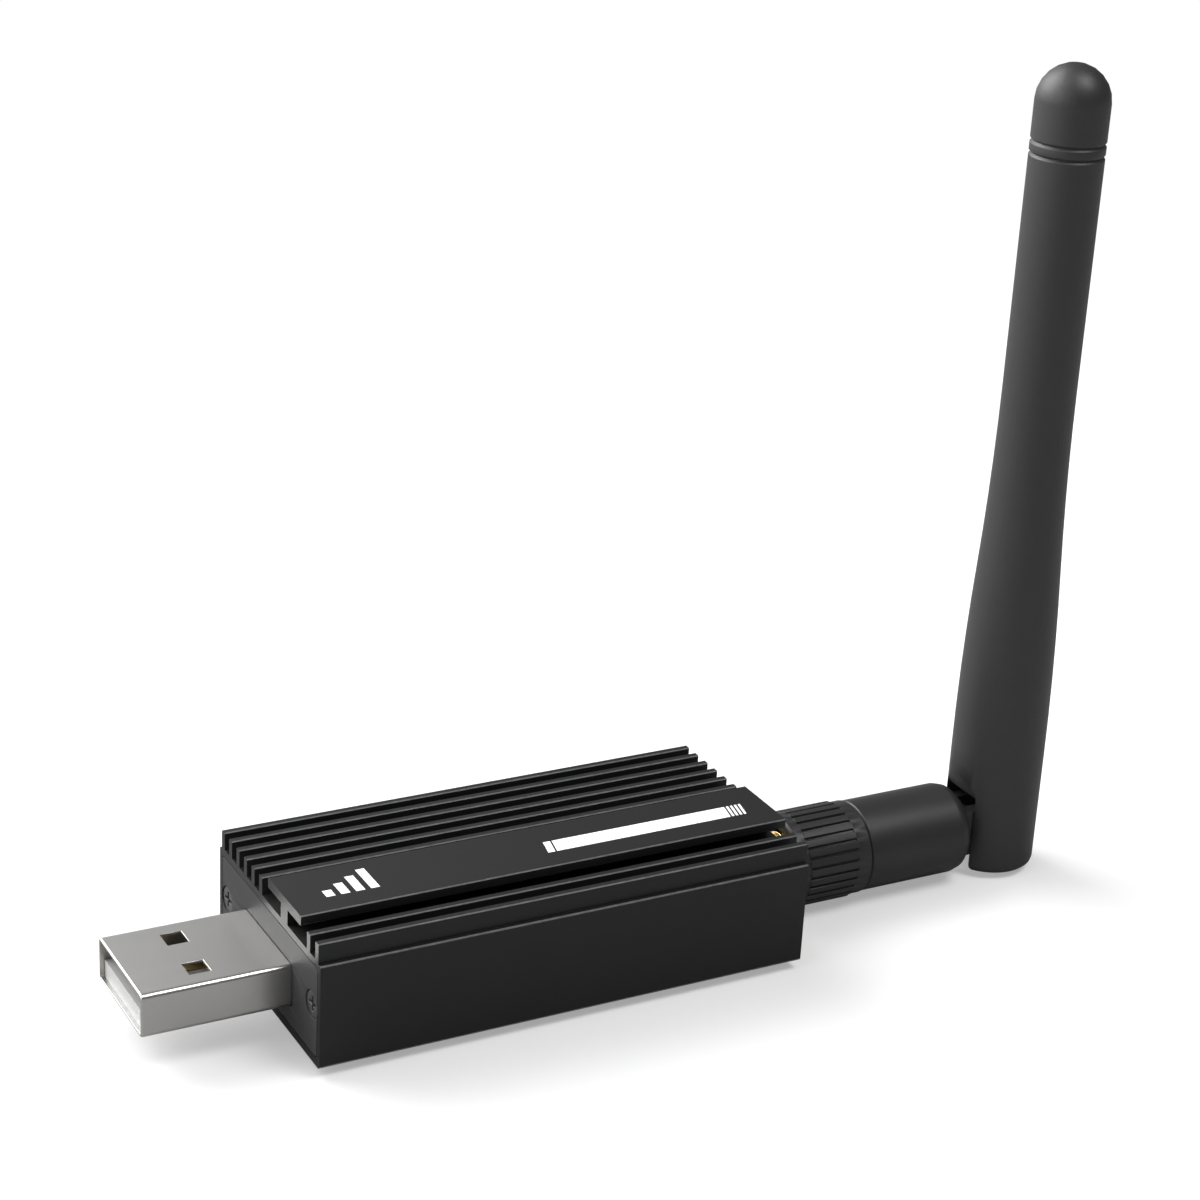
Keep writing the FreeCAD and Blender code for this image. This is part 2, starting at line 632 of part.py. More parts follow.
def make_housing():
    """The finned tube: hollow body, fins, flat platform on its web, screw ports and board rails."""
    body = new_body("housing_shell")
    half = d.case_width / 2
    tube = Profile(body, "tube", "YZ_Plane", -case_end)
    fin_face = d.fin_pitch * d.far_fins + d.fin_thickness / 2
    tube.outline(
        [
            (-half, 0),
            (half, 0),
            (half, d.ledge_height),
            (fin_face, d.ledge_height),
            (fin_face, d.case_height),
            (-fin_face, d.case_height),
            (-fin_face, d.ledge_height),
            (-half, d.ledge_height),
        ]
    )
    tube_pad = tube.pad(d.case_length)
    lower = rounding(
        body, tube_pad, d.case_edge, lambda e: runs_along(e, ALONG_X) and near(e.Vertexes[0].Z, 0)
    )
    rounding(
        body, lower, d.ledge_edge,
        lambda e: runs_along(e, ALONG_X) and near(e.Vertexes[0].Z, d.ledge_height)
        and near(abs(e.Vertexes[0].Y), half),
    )
    hollow = Profile(body, "hollow", "YZ_Plane", case_end)
    hollow.rounded_rectangle(-cavity_half, cavity_half, d.floor_wall, cavity_top, d.cavity_corner)
    hollow.pocket(d.case_length)
    for name, side, count in (("far", 1, d.far_fins), ("near", -1, d.near_fins)):
        make_fins(body, name, side, count)
    make_platform(body)
    for side, name in ((1, "far"), (-1, "near")):
        make_port_and_rails(body, name, side)
    return keep(body, "housing_shell")


def make_fins(body, name, side, count):
    """One row of cooling fins, from the outer edge inwards."""
    outer = d.fin_pitch * d.far_fins * side
    left = outer - d.fin_thickness / 2
    right = outer + d.fin_thickness / 2
    top = d.case_height + d.fin_height
    root = d.case_height - d.roof_wall / 2
    fin = Profile(body, f"{name}_fin", "YZ_Plane", -case_end)
    fin.outline(
        [
            (left, root),
            (right, root),
            (right, top - d.fin_edge),
            (right - d.fin_edge, top),
            (left + d.fin_edge, top),
            (left, top - d.fin_edge),
        ]
    )
    fin_pad = fin.pad(d.case_length)
    doc.recompute()
    repeat = pattern(body, "LinearPattern", fin_pad, "Y_Axis", count, d.fin_pitch * (count - 1))
    repeat.Reversed = side > 0


def make_platform(body):
    """The flat platform on its web, between the two rows of fins."""
    middle = -d.platform_offset
    top = d.case_height + d.platform_rise
    under = top - d.platform_thickness
    root = d.case_height - d.roof_wall / 2
    left = middle - d.platform_width / 2
    right = middle + d.platform_width / 2
    web_left = middle - d.stem_thickness / 2
    web_right = middle + d.stem_thickness / 2
    platform = Profile(body, "platform", "YZ_Plane", -case_end)
    platform.outline(
        [
            (web_left, root),
            (web_right, root),
            (web_right, under),
            (right - d.fin_edge, under),
            (right, under + d.fin_edge),
            (right, top - d.fin_edge),
            (right - d.fin_edge, top),
            (left + d.fin_edge, top),
            (left, top - d.fin_edge),
            (left, under + d.fin_edge),
            (left + d.fin_edge, under),
            (web_left, under),
        ]
    )
    platform.pad(d.case_length)


def make_port_and_rails(body, name, side):
    """One screw port with its slit, and the two rails that hold a board edge. They stop at the end plates."""
    middle = port_place * side
    run = d.case_length - d.plate_thickness * 2
    into_wall = (cavity_half + d.side_wall / 2) * side
    rail_edge = (cavity_half - d.rail_reach) * side
    lower = Profile(body, f"{name}_lower_rail", "YZ_Plane", -plate_inner)
    lower.rectangle(rail_edge, into_wall, d.floor_wall / 2, board_bottom)
    lower.pad(run)
    upper = Profile(body, f"{name}_upper_rail", "YZ_Plane", -plate_inner)
    upper.rectangle(rail_edge, into_wall, board_top + d.board_slot_gap, d.port_height)
    upper.pad(run)
    port = Profile(body, f"{name}_port", "YZ_Plane", -plate_inner)
    port.circle(middle, d.port_height, d.port_radius)
    port.pad(run)
    core = Profile(body, f"{name}_port_core", "YZ_Plane", plate_inner)
    core.circle(middle, d.port_height, d.port_core)
    core.pocket(run)
    slit = Profile(body, f"{name}_port_slit", "YZ_Plane", plate_inner)
    slit.rectangle(
        middle - d.port_slit / 2, middle + d.port_slit / 2,
        d.port_height, d.port_height + d.port_radius * PAST,
    )
    slit.pocket(run)


def make_end_plate(name, side):
    """An end plate with its two recessed screw holes and the opening for the plug or the connector."""
    body = new_body(name)
    half = cavity_half - d.plate_gap
    outer = case_end * side
    towards = side < 0
    plate = Profile(body, f"{name}_slab", "YZ_Plane", outer)
    plate.rounded_rectangle(
        -half, half, d.floor_wall + d.plate_gap, cavity_top - d.plate_gap, d.cavity_corner - d.plate_gap
    )
    plate.pad(d.plate_thickness, flip=not towards)
    holes = Profile(body, f"{name}_screw_holes", "YZ_Plane", outer)
    recess = Profile(body, f"{name}_screw_recesses", "YZ_Plane", outer)
    for port_side in (1, -1):
        holes.circle(port_place * port_side, d.port_height, d.screw_radius + d.screw_hole_gap)
        recess.circle(port_place * port_side, d.port_height, d.screw_recess_radius)
    holes.pocket(d.plate_thickness, flip=towards)
    recess.pocket(d.screw_head_height + d.screw_sink, flip=towards)
    opening = Profile(body, f"{name}_opening", "YZ_Plane", outer)
    if side < 0:
        gap = d.usb_opening_gap
        opening.rounded_rectangle(
            -(d.usb_width / 2 + gap), d.usb_width / 2 + gap, usb_bottom - gap, usb_top + gap,
            d.usb_corner + gap,
        )
    else:
        hole, flat = d.thread_radius + d.jack_hole_gap, d.jack_flat + d.jack_hole_gap
        side_reach = root(hole * hole - flat * flat)
        opening.outline(
            [
                (-side_reach, d.coax_height - flat),
                (side_reach, d.coax_height - flat, hole),
                (0, d.coax_height + hole, hole),
            ]
        )
    opening.pocket(d.plate_thickness, flip=towards)
    return keep(body, name)


def make_screws():
    """The four screws that hold the end plates in the screw ports."""
    face = -(case_end - d.screw_sink)
    body = new_body("plate_screw", 0, port_place, d.port_height)
    under_head = face + d.screw_head_height
    end = under_head + d.screw_length
    shank = Profile(body, "screw_outline", "XZ_Plane")
    shank.outline(
        [
            (face, 0),
            (end, 0),
            (end, d.screw_radius),
            (under_head, d.screw_radius),
            (under_head, d.screw_head_radius),
            (face, d.screw_head_radius),
        ]
    )
    shank.revolve("H_Axis")
    arm, half = d.cross_length / 2, d.cross_width / 2
    cross = Profile(body, "driver_cross", "YZ_Plane", face)
    cross.outline(
        [
            (-half, -arm), (half, -arm), (half, -half), (arm, -half), (arm, half), (half, half),
            (half, arm), (-half, arm), (-half, half), (-arm, half), (-arm, -half), (-half, -half),
        ]
    )
    cross.pocket(d.cross_depth, flip=True)
    near_screw = mirrored("near_plate_screw", body, FreeCAD.Vector(0, 1, 0))
    rear_far = mirrored("rear_far_plate_screw", body, ALONG_X)
    rear_near = mirrored("rear_near_plate_screw", near_screw, ALONG_X)
    return group("end_plate_screws", [body, near_screw, rear_far, rear_near])


def make_usb_shell():
    """The folded plug shell with its four windows and the two soldered ears with their prongs."""
    body = new_body("usb_plug_shell")
    half = d.usb_width / 2
    outside = Profile(body, "shell_outside", "YZ_Plane", usb_mouth)
    outside.rounded_rectangle(-half, half, usb_bottom, usb_top, d.usb_corner)
    shell = outside.pad(d.usb_shell_length)
    rounding(
        body, shell, d.usb_lip,
        lambda e: all(near(v.X, usb_mouth) for v in e.Vertexes), kind="Chamfer",
    )
    for side in (1, -1):
        make_shell_ear(body, "far" if side > 0 else "near", side)
    inside = Profile(body, "shell_inside", "YZ_Plane", usb_rear)
    inner = half - d.usb_sheet
    inside.rounded_rectangle(
        -inner, inner, usb_bottom + d.usb_sheet, usb_top - d.usb_sheet, d.usb_corner - d.usb_sheet
    )
    inside.pocket(d.usb_shell_length)
    middle = usb_mouth + d.window_setback
    front, back = middle - d.window_length / 2, middle + d.window_length / 2
    for name, level, flip in (("upper", usb_top, False), ("lower", usb_bottom, True)):
        windows = Profile(body, f"{name}_windows", "XY_Plane", level)
        for side in (1, -1):
            centre = d.window_spacing / 2 * side
            windows.rectangle(front, back, centre - d.window_width / 2, centre + d.window_width / 2)
        windows.pocket(d.usb_sheet, flip=flip)
    return keep(body, "usb_plug_shell")


def make_shell_ear(body, name, side):
    """One ear that lies on the board, with a prong that goes through it."""
    root = (d.usb_width / 2 - d.usb_sheet / 2) * side
    tip = (d.usb_width / 2 + d.ear_reach) * side
    inner = tip - d.usb_sheet * side
    ear = Profile(body, f"{name}_ear", "YZ_Plane", -plate_inner + d.ear_setback)
    ear.outline(
        [
            (root, board_top),
            (root, board_top + d.usb_sheet),
            (tip, board_top + d.usb_sheet),
            (tip, board_top - d.prong_reach),
            (inner, board_top - d.prong_reach),
            (inner, board_top),
        ]
    )
    ear.pad(d.ear_length)


def contact_places():
    """The contacts' places across the plug, with the setback of each from the mouth."""
    outer, inner = d.outer_contact_spacing / 2, d.inner_contact_spacing / 2
    return [
        (outer, d.outer_contact_setback),
        (inner, d.inner_contact_setback),
        (-inner, d.inner_contact_setback),
        (-outer, d.outer_contact_setback),
    ]


def make_usb_tongue():
    """The insulator: a thin tongue in front of a block, with a way through the block for each contact."""
    body = new_body("usb_tongue")
    half = d.usb_width / 2 - d.usb_sheet - d.tongue_fit
    floor = usb_bottom + d.usb_sheet
    tongue_front = usb_mouth + d.tongue_setback
    tongue = Profile(body, "tongue", "YZ_Plane", tongue_front)
    corner = d.usb_corner - d.usb_sheet
    tongue.rounded_rectangle(-half, half, floor, tongue_top, corner)
    tongue.pad(usb_rear - tongue_front)
    rear_block = Profile(body, "rear_block", "YZ_Plane", block_front)
    rear_block.rounded_rectangle(-half, half, floor, usb_top - d.usb_sheet - d.tongue_fit, corner)
    rear_block.pad(d.tongue_block)
    ways = Profile(body, "contact_ways", "YZ_Plane", usb_rear)
    for centre, _ in contact_places():
        ways.rectangle(
            centre - d.contact_width / 2, centre + d.contact_width / 2,
            tongue_top, tongue_top + d.contact_thickness,
        )
    ways.pocket(d.tongue_block)
    return keep(body, "usb_tongue")


def make_usb_contacts():
    """The four plug contacts: flat on the tongue, through the block and down to the board."""
    members = []
    for index, (centre, setback) in enumerate(contact_places(), start=1):
        body = new_body(f"usb_contact_{index}")
        start = usb_mouth + setback
        bend = usb_rear + d.contact_thickness * 2
        foot = bend + d.contact_foot
        top = tongue_top + d.contact_thickness
        strip = Profile(body, f"contact_outline_{index}", "XZ_Plane", -(centre + d.contact_width / 2))
        strip.outline(
            [
                (start, tongue_top),
                (bend - d.contact_thickness, tongue_top),
                (bend - d.contact_thickness, board_top),
                (foot, board_top),
                (foot, board_top + d.contact_thickness),
                (bend, board_top + d.contact_thickness),
                (bend, top),
                (start, top),
            ]
        )
        strip.pad(d.contact_width)
        members.append(body)
    return group("usb_contacts", members)


def make_board():
    """The circuit board, with the notch for the plug and the two slots for the shell's prongs."""
    body = new_body("circuit_board")
    front = -(plate_inner - d.board_end_gap)
    notch = usb_rear + d.board_notch_gap
    notch_half = d.usb_width / 2 + d.board_notch_gap
    rear = jack_back
    board = Profile(body, "board_outline", "XY_Plane", board_bottom)
    board.outline(
        [
            (front, -board_half),
            (rear, -board_half),
            (rear, board_half),
            (front, board_half),
            (front, notch_half),
            (notch, notch_half),
            (notch, -notch_half),
            (front, -notch_half),
        ]
    )
    board.pad(d.board_thickness)
    ear_front = -plate_inner + d.ear_setback
    slots = Profile(body, "prong_slots", "XY_Plane", board_top)
    for side in (1, -1):
        outer = (d.usb_width / 2 + d.ear_reach + d.prong_slot_gap) * side
        inner = (d.usb_width / 2 + d.ear_reach - d.usb_sheet - d.prong_slot_gap) * side
        slots.rectangle(
            ear_front - d.prong_slot_gap, ear_front + d.ear_length + d.prong_slot_gap, inner, outer
        )
    slots.pocket(d.board_thickness)
    return keep(body, "circuit_board")


def make_shield_can():
    """The sheet metal can over the radio chip, open below."""
    body = new_body("radio_shield_can", can_middle, 0, board_top)
    half_length, half_width = d.can_length / 2, d.can_width / 2
    outside = Profile(body, "can_outside", "XY_Plane")
    outside.rounded_rectangle(-half_length, half_length, -half_width, half_width, d.can_corner)
    outside.pad(d.can_height)
    inside = Profile(body, "can_inside", "XY_Plane")
    inner_length, inner_width = half_length - d.can_sheet, half_width - d.can_sheet
    inside.rounded_rectangle(
        -inner_length, inner_length, -inner_width, inner_width, d.can_corner - d.can_sheet
    )
    inside.pocket(d.can_height - d.can_sheet, flip=True)
    return keep(body, "radio_shield_can")


def on_board(name, length, width, height, x, y):
    """A box that is soldered on the board."""
    return block(name, length, width, height, x, y, board_top)


def make_chips():
    """The chips and crystals on the board."""
    singles = [
        (
            "radio_chip", d.radio_chip_side, d.radio_chip_side, d.radio_chip_height,
            can_middle, RADIO_CHIP_SHIFT,
        ),
        (
            "usb_bridge_chip", d.bridge_chip_side, d.bridge_chip_side, d.bridge_chip_height,
            usb_rear + d.bridge_chip_place, 0,
        ),
        (
            "radio_crystal", d.crystal_length, d.crystal_width, d.crystal_height,
            can_middle, RADIO_CRYSTAL_SHIFT,
        ),
        (
            "clock_crystal", d.clock_crystal_width, d.clock_crystal_length, d.crystal_height,
            *CLOCK_CRYSTAL_PLACE,
        ),
        (
            "voltage_regulator", d.regulator_length, d.regulator_width, d.regulator_height,
            usb_rear + REGULATOR_PLACE[0], REGULATOR_PLACE[1],
        ),
        (
            "surge_protector", d.surge_length, d.surge_width, d.surge_height,
            usb_rear + SURGE_PLACE[0], SURGE_PLACE[1],
        ),
    ]
    for name, *sizes in singles:
        keep(on_board(name, *sizes), name)


def make_small_parts():
    """The resistors, capacitors, coils and lights, each kind one group of separate pieces."""
    middle = as_size(0)
    kinds = [
        (
            "chip_resistors", d.resistor_length, d.resistor_width, d.resistor_height,
            ((usb_rear, PLUG_RESISTORS), (middle, MIDDLE_RESISTORS)),
        ),
        (
            "chip_capacitors", d.capacitor_length, d.capacitor_width, d.capacitor_height,
            ((usb_rear, PLUG_CAPACITORS), (middle, MIDDLE_CAPACITORS), (jack_back, RADIO_CAPACITORS)),
        ),
        ("matching_coils", d.coil_length, d.coil_width, d.coil_height, ((jack_back, COIL_PLACES),)),
        ("status_lights", d.light_length, d.light_width, d.light_height, ((jack_back, LIGHT_PLACES),)),
    ]
    for name, length, width, height, sets in kinds:
        places = [(start + x, y) for start, steps in sets for x, y in steps]
        members = [
            on_board(f"{name}_{index}", length, width, height, x, y)
            for index, (x, y) in enumerate(places, start=1)
        ]
        group(name, members)


def make_switch(name, side):
    """A push switch on the board and its plunger, which travels down into it."""
    y = (port_place - d.port_radius - d.switch_port_gap - d.switch_width / 2) * side
    x = -d.switch_place
    slab = block(
        f"{name}_slab", d.switch_length, d.switch_width, d.switch_height, x, y, board_top
    )
    plunger_foot = board_top + d.switch_height + d.plunger_rise - d.plunger_length
    bore_floor = plunger_foot - d.plunger_room
    bore = rod(
        f"{name}_bore", d.plunger_radius + d.plunger_gap,
        board_top + d.switch_height - bore_floor, x, y, bore_floor,
    )
    keep(minus(f"{name}_body", slab, bore), f"{name}_body")
    plunger = rod(f"{name}_plunger", d.plunger_radius, d.plunger_length, x, y, plunger_foot)
    keep(plunger, f"{name}_plunger")


def make_jack():
    """The threaded coaxial connector: body with flange and board legs, insulator and centre contact."""
    body = new_body("coax_jack_body", 0, 0, d.coax_height)
    barrel = Profile(body, "jack_barrel", "XZ_Plane")
    barrel.outline(
        [
            (plate_inner, 0),
            (jack_front, 0),
            (jack_front, d.thread_radius - d.jack_lead_in),
            (jack_front - d.jack_lead_in, d.thread_radius),
            (plate_inner, d.thread_radius),
        ]
    )
    barrel.revolve("H_Axis")
    below = Profile(body, "jack_flat", "YZ_Plane", jack_front)
    below.rectangle(-d.thread_radius, d.thread_radius, -d.thread_radius * PAST, -d.jack_flat)
    below.pocket(jack_front - plate_inner)
    flange_half, flange_rise = d.jack_flange_width / 2, d.jack_flange_height / 2
    flange = Profile(body, "jack_flange", "YZ_Plane", jack_back)
    flange.rectangle(-flange_half, flange_half, -flange_rise, flange_rise)
    flange.pad(d.jack_flange_thickness)
    top = board_top - d.coax_height
    bottom = board_bottom - d.coax_height
    levels = (("upper", top, top + d.jack_leg_height), ("lower", bottom - d.jack_leg_height, bottom))
    for name, low, high in levels:
        legs = Profile(body, f"{name}_legs", "YZ_Plane", jack_back - d.jack_leg_length)
        for side in (1, -1):
            centre = d.jack_leg_spacing / 2 * side
            legs.rectangle(centre - d.jack_leg_width / 2, centre + d.jack_leg_width / 2, low, high)
        legs.pad(d.jack_leg_length)
    bore = Profile(body, "jack_bore", "XZ_Plane")
    bore.outline(
        [
            (jack_back, 0),
            (jack_front, 0),
            (jack_front, d.jack_counterbore_radius),
            (seat_plane, d.jack_counterbore_radius),
            (seat_plane, d.jack_bore_radius),
            (jack_back, d.jack_bore_radius),
        ]
    )
    bore.groove("H_Axis")
    keep(body, "coax_jack_body")
    insulator = new_body("coax_jack_insulator", 0, 0, d.coax_height)
    ring = Profile(insulator, "jack_insulator_outline", "XZ_Plane")
    ring.rectangle(
        jack_back, seat_plane, d.socket_radius + d.insulator_fit, d.jack_bore_radius - d.insulator_fit
    )
    ring.revolve("H_Axis")
    keep(insulator, "coax_jack_insulator")
    contact = new_body("coax_jack_contact", 0, 0, d.coax_height)
    socket = Profile(contact, "jack_contact_outline", "XZ_Plane")
    socket.outline(
        [
            (jack_back - d.tail_length, 0),
            (seat_plane - d.socket_bore_depth, 0),
            (seat_plane - d.socket_bore_depth, d.socket_bore_radius),
            (seat_plane, d.socket_bore_radius),
            (seat_plane, d.socket_radius),
            (jack_back, d.socket_radius),
            (jack_back, d.tail_radius),
            (jack_back - d.tail_length, d.tail_radius),
        ]
    )
    socket.revolve("H_Axis")
    keep(contact, "coax_jack_contact")


def hexagon(profile, flats):
    """Draws a hexagon with a flat at its top, by its size across the flats."""
    corner = flats / math.sqrt(3)
    half = corner / 2
    apothem = flats / 2
    return profile.outline(
        [
            (-half, -apothem), (half, -apothem), (corner, 0), (half, apothem), (-half, apothem), (-corner, 0),
        ]
    )


def make_jack_fasteners():
    """The washer and the hexagon nut that clamp the connector to the rear plate."""
    washer = new_body("coax_jack_washer", 0, 0, d.coax_height)
    ring = Profile(washer, "washer_outline", "YZ_Plane", case_end)
    ring.circle(0, 0, d.washer_radius)
    ring.circle(0, 0, d.thread_radius + d.washer_bore_gap)
    ring.pad(d.washer_thickness)
    keep(washer, "coax_jack_washer")
    nut = new_body("coax_jack_nut", 0, 0, d.coax_height)
    slab = Profile(nut, "jack_nut_outline", "YZ_Plane", case_end + d.washer_thickness)
    hexagon(slab, d.jack_nut_flats)
    slab.circle(0, 0, d.thread_radius + d.jack_nut_gap)
    slab.pad(d.jack_nut_thickness)
    keep(nut, "coax_jack_nut")


def make_coupling_nut():
    """The splined sleeve and the threaded insert that it turns."""
    sleeve = new_body("coupling_nut_sleeve", 0, 0, d.coax_height)
    bind(sleeve, "Placement.Rotation.Angle", d.spline_phase)
    sleeve.Placement.Rotation = FreeCAD.Rotation(ALONG_X, d.spline_phase.value)
    spline_front = sleeve_front + d.sleeve_shoulder_length
    spline_rear = spline_front + d.sleeve_spline_length
    outside = Profile(sleeve, "sleeve_outline", "XZ_Plane")
    outside.outline(
        [
            (sleeve_front, 0),
            (sleeve_rear, 0),
            (sleeve_rear, d.sleeve_collar_radius),
            (spline_rear, d.sleeve_collar_radius),
            (spline_rear, d.sleeve_radius),
            (spline_front, d.sleeve_radius),
            (spline_front, d.sleeve_shoulder_radius),
            (sleeve_front + d.sleeve_edge, d.sleeve_shoulder_radius),
            (sleeve_front, d.sleeve_shoulder_radius - d.sleeve_edge),
        ]
    )
    outside.revolve("H_Axis")
    groove = Profile(sleeve, "spline_groove", "YZ_Plane", spline_front)
    low = d.sleeve_radius - d.spline_depth
    high = d.sleeve_radius + d.spline_depth
    foot = d.spline_width / 2 * SPLINE_FOOT
    mouth = d.spline_width - foot
    groove.outline([(-foot, low), (foot, low), (mouth, high), (-mouth, high)])
    cut = groove.pocket(d.sleeve_spline_length, flip=True)
    doc.recompute()
    pattern(sleeve, "PolarPattern", cut, "X_Axis", d.spline_count, 0)
    front_bore = Profile(sleeve, "sleeve_mouth", "YZ_Plane", insert_front)
    front_bore.circle(0, 0, d.sleeve_mouth_radius)
    front_bore.pocket(insert_front - sleeve_front)
    seat = Profile(sleeve, "insert_seat", "YZ_Plane", insert_rear)
    hexagon(seat, d.insert_flats + d.insert_fit * 2)
    seat.pocket(insert_rear - insert_front)
    tail = Profile(sleeve, "sleeve_tail_bore", "YZ_Plane", sleeve_rear)
    tail.circle(0, 0, d.sleeve_tail_bore)
    tail.pocket(sleeve_rear - insert_front)
    keep(sleeve, "coupling_nut_sleeve")
    insert = new_body("coupling_nut_insert", 0, 0, d.coax_height)
    bind(insert, "Placement.Rotation.Angle", d.spline_phase)
    insert.Placement.Rotation = FreeCAD.Rotation(ALONG_X, d.spline_phase.value)
    slab = Profile(insert, "insert_outline", "YZ_Plane", insert_front)
    hexagon(slab, d.insert_flats)
    slab.pad(insert_rear - insert_front)
    bore = Profile(insert, "insert_bore", "XZ_Plane")
    bore.outline(
        [
            (insert_front, 0),
            (insert_rear, 0),
            (insert_rear, d.journal_radius + d.journal_gap),
            (lip_front, d.journal_radius + d.journal_gap),
            (lip_front, d.thread_radius + d.thread_gap),
            (insert_front, d.thread_radius + d.thread_gap),
        ]
    )
    bore.groove("H_Axis")
    keep(insert, "coupling_nut_insert")


def make_antenna_core():
    """The antenna's side of the connector: ferrule with its journal, insulator and centre pin."""
    ferrule = new_body("antenna_ferrule", 0, 0, d.coax_height)
    outline = Profile(ferrule, "ferrule_outline", "XZ_Plane")
    cable_hole = d.cable_radius + d.cable_gap
    hollow_end = cable_start + d.cable_radius
    outline.outline(
        [
            (nose_front, d.ferrule_bore_radius),
            (hollow_end, d.ferrule_bore_radius),
            (hollow_end, cable_hole),
            (journal_rear, cable_hole),
            (journal_rear, d.journal_radius),
            (barb_rear, d.journal_radius),
            (barb_rear, d.barb_radius),
            (barb_front, d.barb_radius),
            (barb_front, d.journal_radius),
            (flange_rear, d.journal_radius),
            (flange_rear, d.ferrule_flange_radius),
            (flange_front, d.ferrule_flange_radius),
            (flange_front, d.ferrule_nose_radius),
            (nose_front, d.ferrule_nose_radius),
        ]
    )
    outline.revolve("H_Axis")
    keep(ferrule, "antenna_ferrule")
    insulator = new_body("antenna_insulator", 0, 0, d.coax_height)
    ring = Profile(insulator, "antenna_insulator_outline", "XZ_Plane")
    ring.rectangle(
        nose_front, insulator_rear, d.pin_radius + d.insulator_fit, d.ferrule_bore_radius - d.insulator_fit
    )
    ring.revolve("H_Axis")
    keep(insulator, "antenna_insulator")
    pin = new_body("antenna_centre_pin", 0, 0, d.coax_height)
    shaft = Profile(pin, "pin_outline", "XZ_Plane")
    tip = nose_front - d.pin_reach
    shaft.outline(
        [
            (tip, 0),
            (pin_rear, 0),
            (pin_rear, d.pin_radius),
            (tip + d.pin_point, d.pin_radius),
            (tip, d.pin_radius - d.pin_point),
        ]
    )
    shaft.revolve("H_Axis")
    keep(pin, "antenna_centre_pin")


def make_elbow():
    """The elbow: round part, dished end, tongue with its cable channel and the two hinge studs."""
    body = new_body("elbow", 0, 0, d.coax_height)
    radius, edge, rounded = d.elbow_radius, d.elbow_edge, d.elbow_rounding
    outside = Profile(body, "elbow_outline", "XZ_Plane")
    outside.outline(
        [
            (elbow_front, 0),
            (elbow_end, 0),
            *round_off(elbow_end - rounded, radius - rounded, rounded, 0, 90, ELBOW_ROUND_STEPS),
            (elbow_front + edge, radius),
            (elbow_front, radius - edge),
        ]
    )
    outside.revolve("H_Axis")
    # The ears' lower rims stay on a ball round the hinge, so the elbow's end is dished by such a ball.
    dish = Profile(body, "ear_dish", "XZ_Plane")
    dish_rim = round_off(hinge_place, as_size(0), ear_sweep + d.ear_room, 180, 135, ELBOW_DISH_STEPS)
    dish.outline([(hinge_place, 0), (hinge_place, dish_rim[-1][1]), *dish_rim[:0:-1], (dish_rim[0][0], 0)])
    dish.groove("H_Axis")
    tongue_end = d.tongue_radius
    tongue = Profile(body, "hinge_tongue", "XZ_Plane", -d.tongue_half)
    tongue.outline(
        [
            (elbow_end - d.tongue_root, -tongue_end),
            (hinge_place, -tongue_end, tongue_end),
            (hinge_place + tongue_end, 0, tongue_end),
            (hinge_place, tongue_end),
            (elbow_end - d.tongue_root, tongue_end),
        ]
    )
    tongue.pad(d.tongue_half * 2)
    stud_end = d.tongue_half + d.trunnion_reach
    studs = Profile(body, "hinge_studs", "XZ_Plane", -stud_end)
    studs.circle(hinge_place, 0, d.trunnion_radius)
    studs.pad(stud_end * 2)
    channel = Profile(body, "cable_channel", "XZ_Plane", d.channel_half)
    channel.rectangle(
        hinge_place - d.channel_root, hinge_place + tongue_end * PAST, -d.channel_half, tongue_end * PAST
    )
    channel.pocket(d.channel_half * 2)
    bore = Profile(body, "elbow_bore", "XZ_Plane")
    journal = d.journal_radius + d.journal_gap
    barb = d.barb_radius + d.journal_gap
    bore.outline(
        [
            (elbow_front, 0),
            (hinge_place - d.channel_root, 0),
            (hinge_place - d.channel_root, d.elbow_bore_radius),
            (journal_rear + d.barb_room, d.elbow_bore_radius),
            (journal_rear + d.barb_room, journal),
            (barb_rear + d.barb_room, journal),
            (barb_rear + d.barb_room, barb),
            (barb_front - d.barb_room, barb),
            (barb_front - d.barb_room, journal),
            (elbow_front, journal),
        ]
    )
    bore.groove("H_Axis")
    return keep(body, "elbow")


def make_feed_cable():
    """The thin coaxial cable: along the elbow, round the hinge and up the whip."""
    body = new_body("feed_cable", 0, 0, d.coax_height)
    path = Profile(body, "cable_path", "XZ_Plane")
    sketch = path.sketch
    start, turn = vector(cable_start, 0), vector(hinge_place - d.cable_bend, 0)
    rise, top = vector(hinge_place, d.cable_bend), vector(hinge_place, skirt_top)
    first = sketch.addGeometry(Part.LineSegment(start, turn), False)
    bend = sketch.addGeometry(arc_between(turn, rise, d.cable_bend.value, True), False)
    last = sketch.addGeometry(Part.LineSegment(rise, top), False)
    path.pin(first, 1, cable_start, 0)
    path.pin(first, 2, hinge_place - d.cable_bend, 0)
    sketch.addConstraint(Sketcher.Constraint("Coincident", first, 2, bend, 1))
    sketch.addConstraint(Sketcher.Constraint("Coincident", bend, 2, last, 1))
    path.pin(last, 1, hinge_place, d.cable_bend)
    path.pin(last, 2, hinge_place, skirt_top)
    path.tie("Radius", d.cable_bend, bend)
    section = Profile(body, "cable_section", "YZ_Plane", cable_start)
    section.circle(0, 0, d.cable_radius)
    pipe = body.newObject("PartDesign::AdditivePipe", "cable_sweep")
    pipe.Profile = section.sketch
    pipe.Spine = (sketch, ["Edge1", "Edge2", "Edge3"])
    section.sketch.Visibility = False
    sketch.Visibility = False
    return keep(body, "feed_cable")


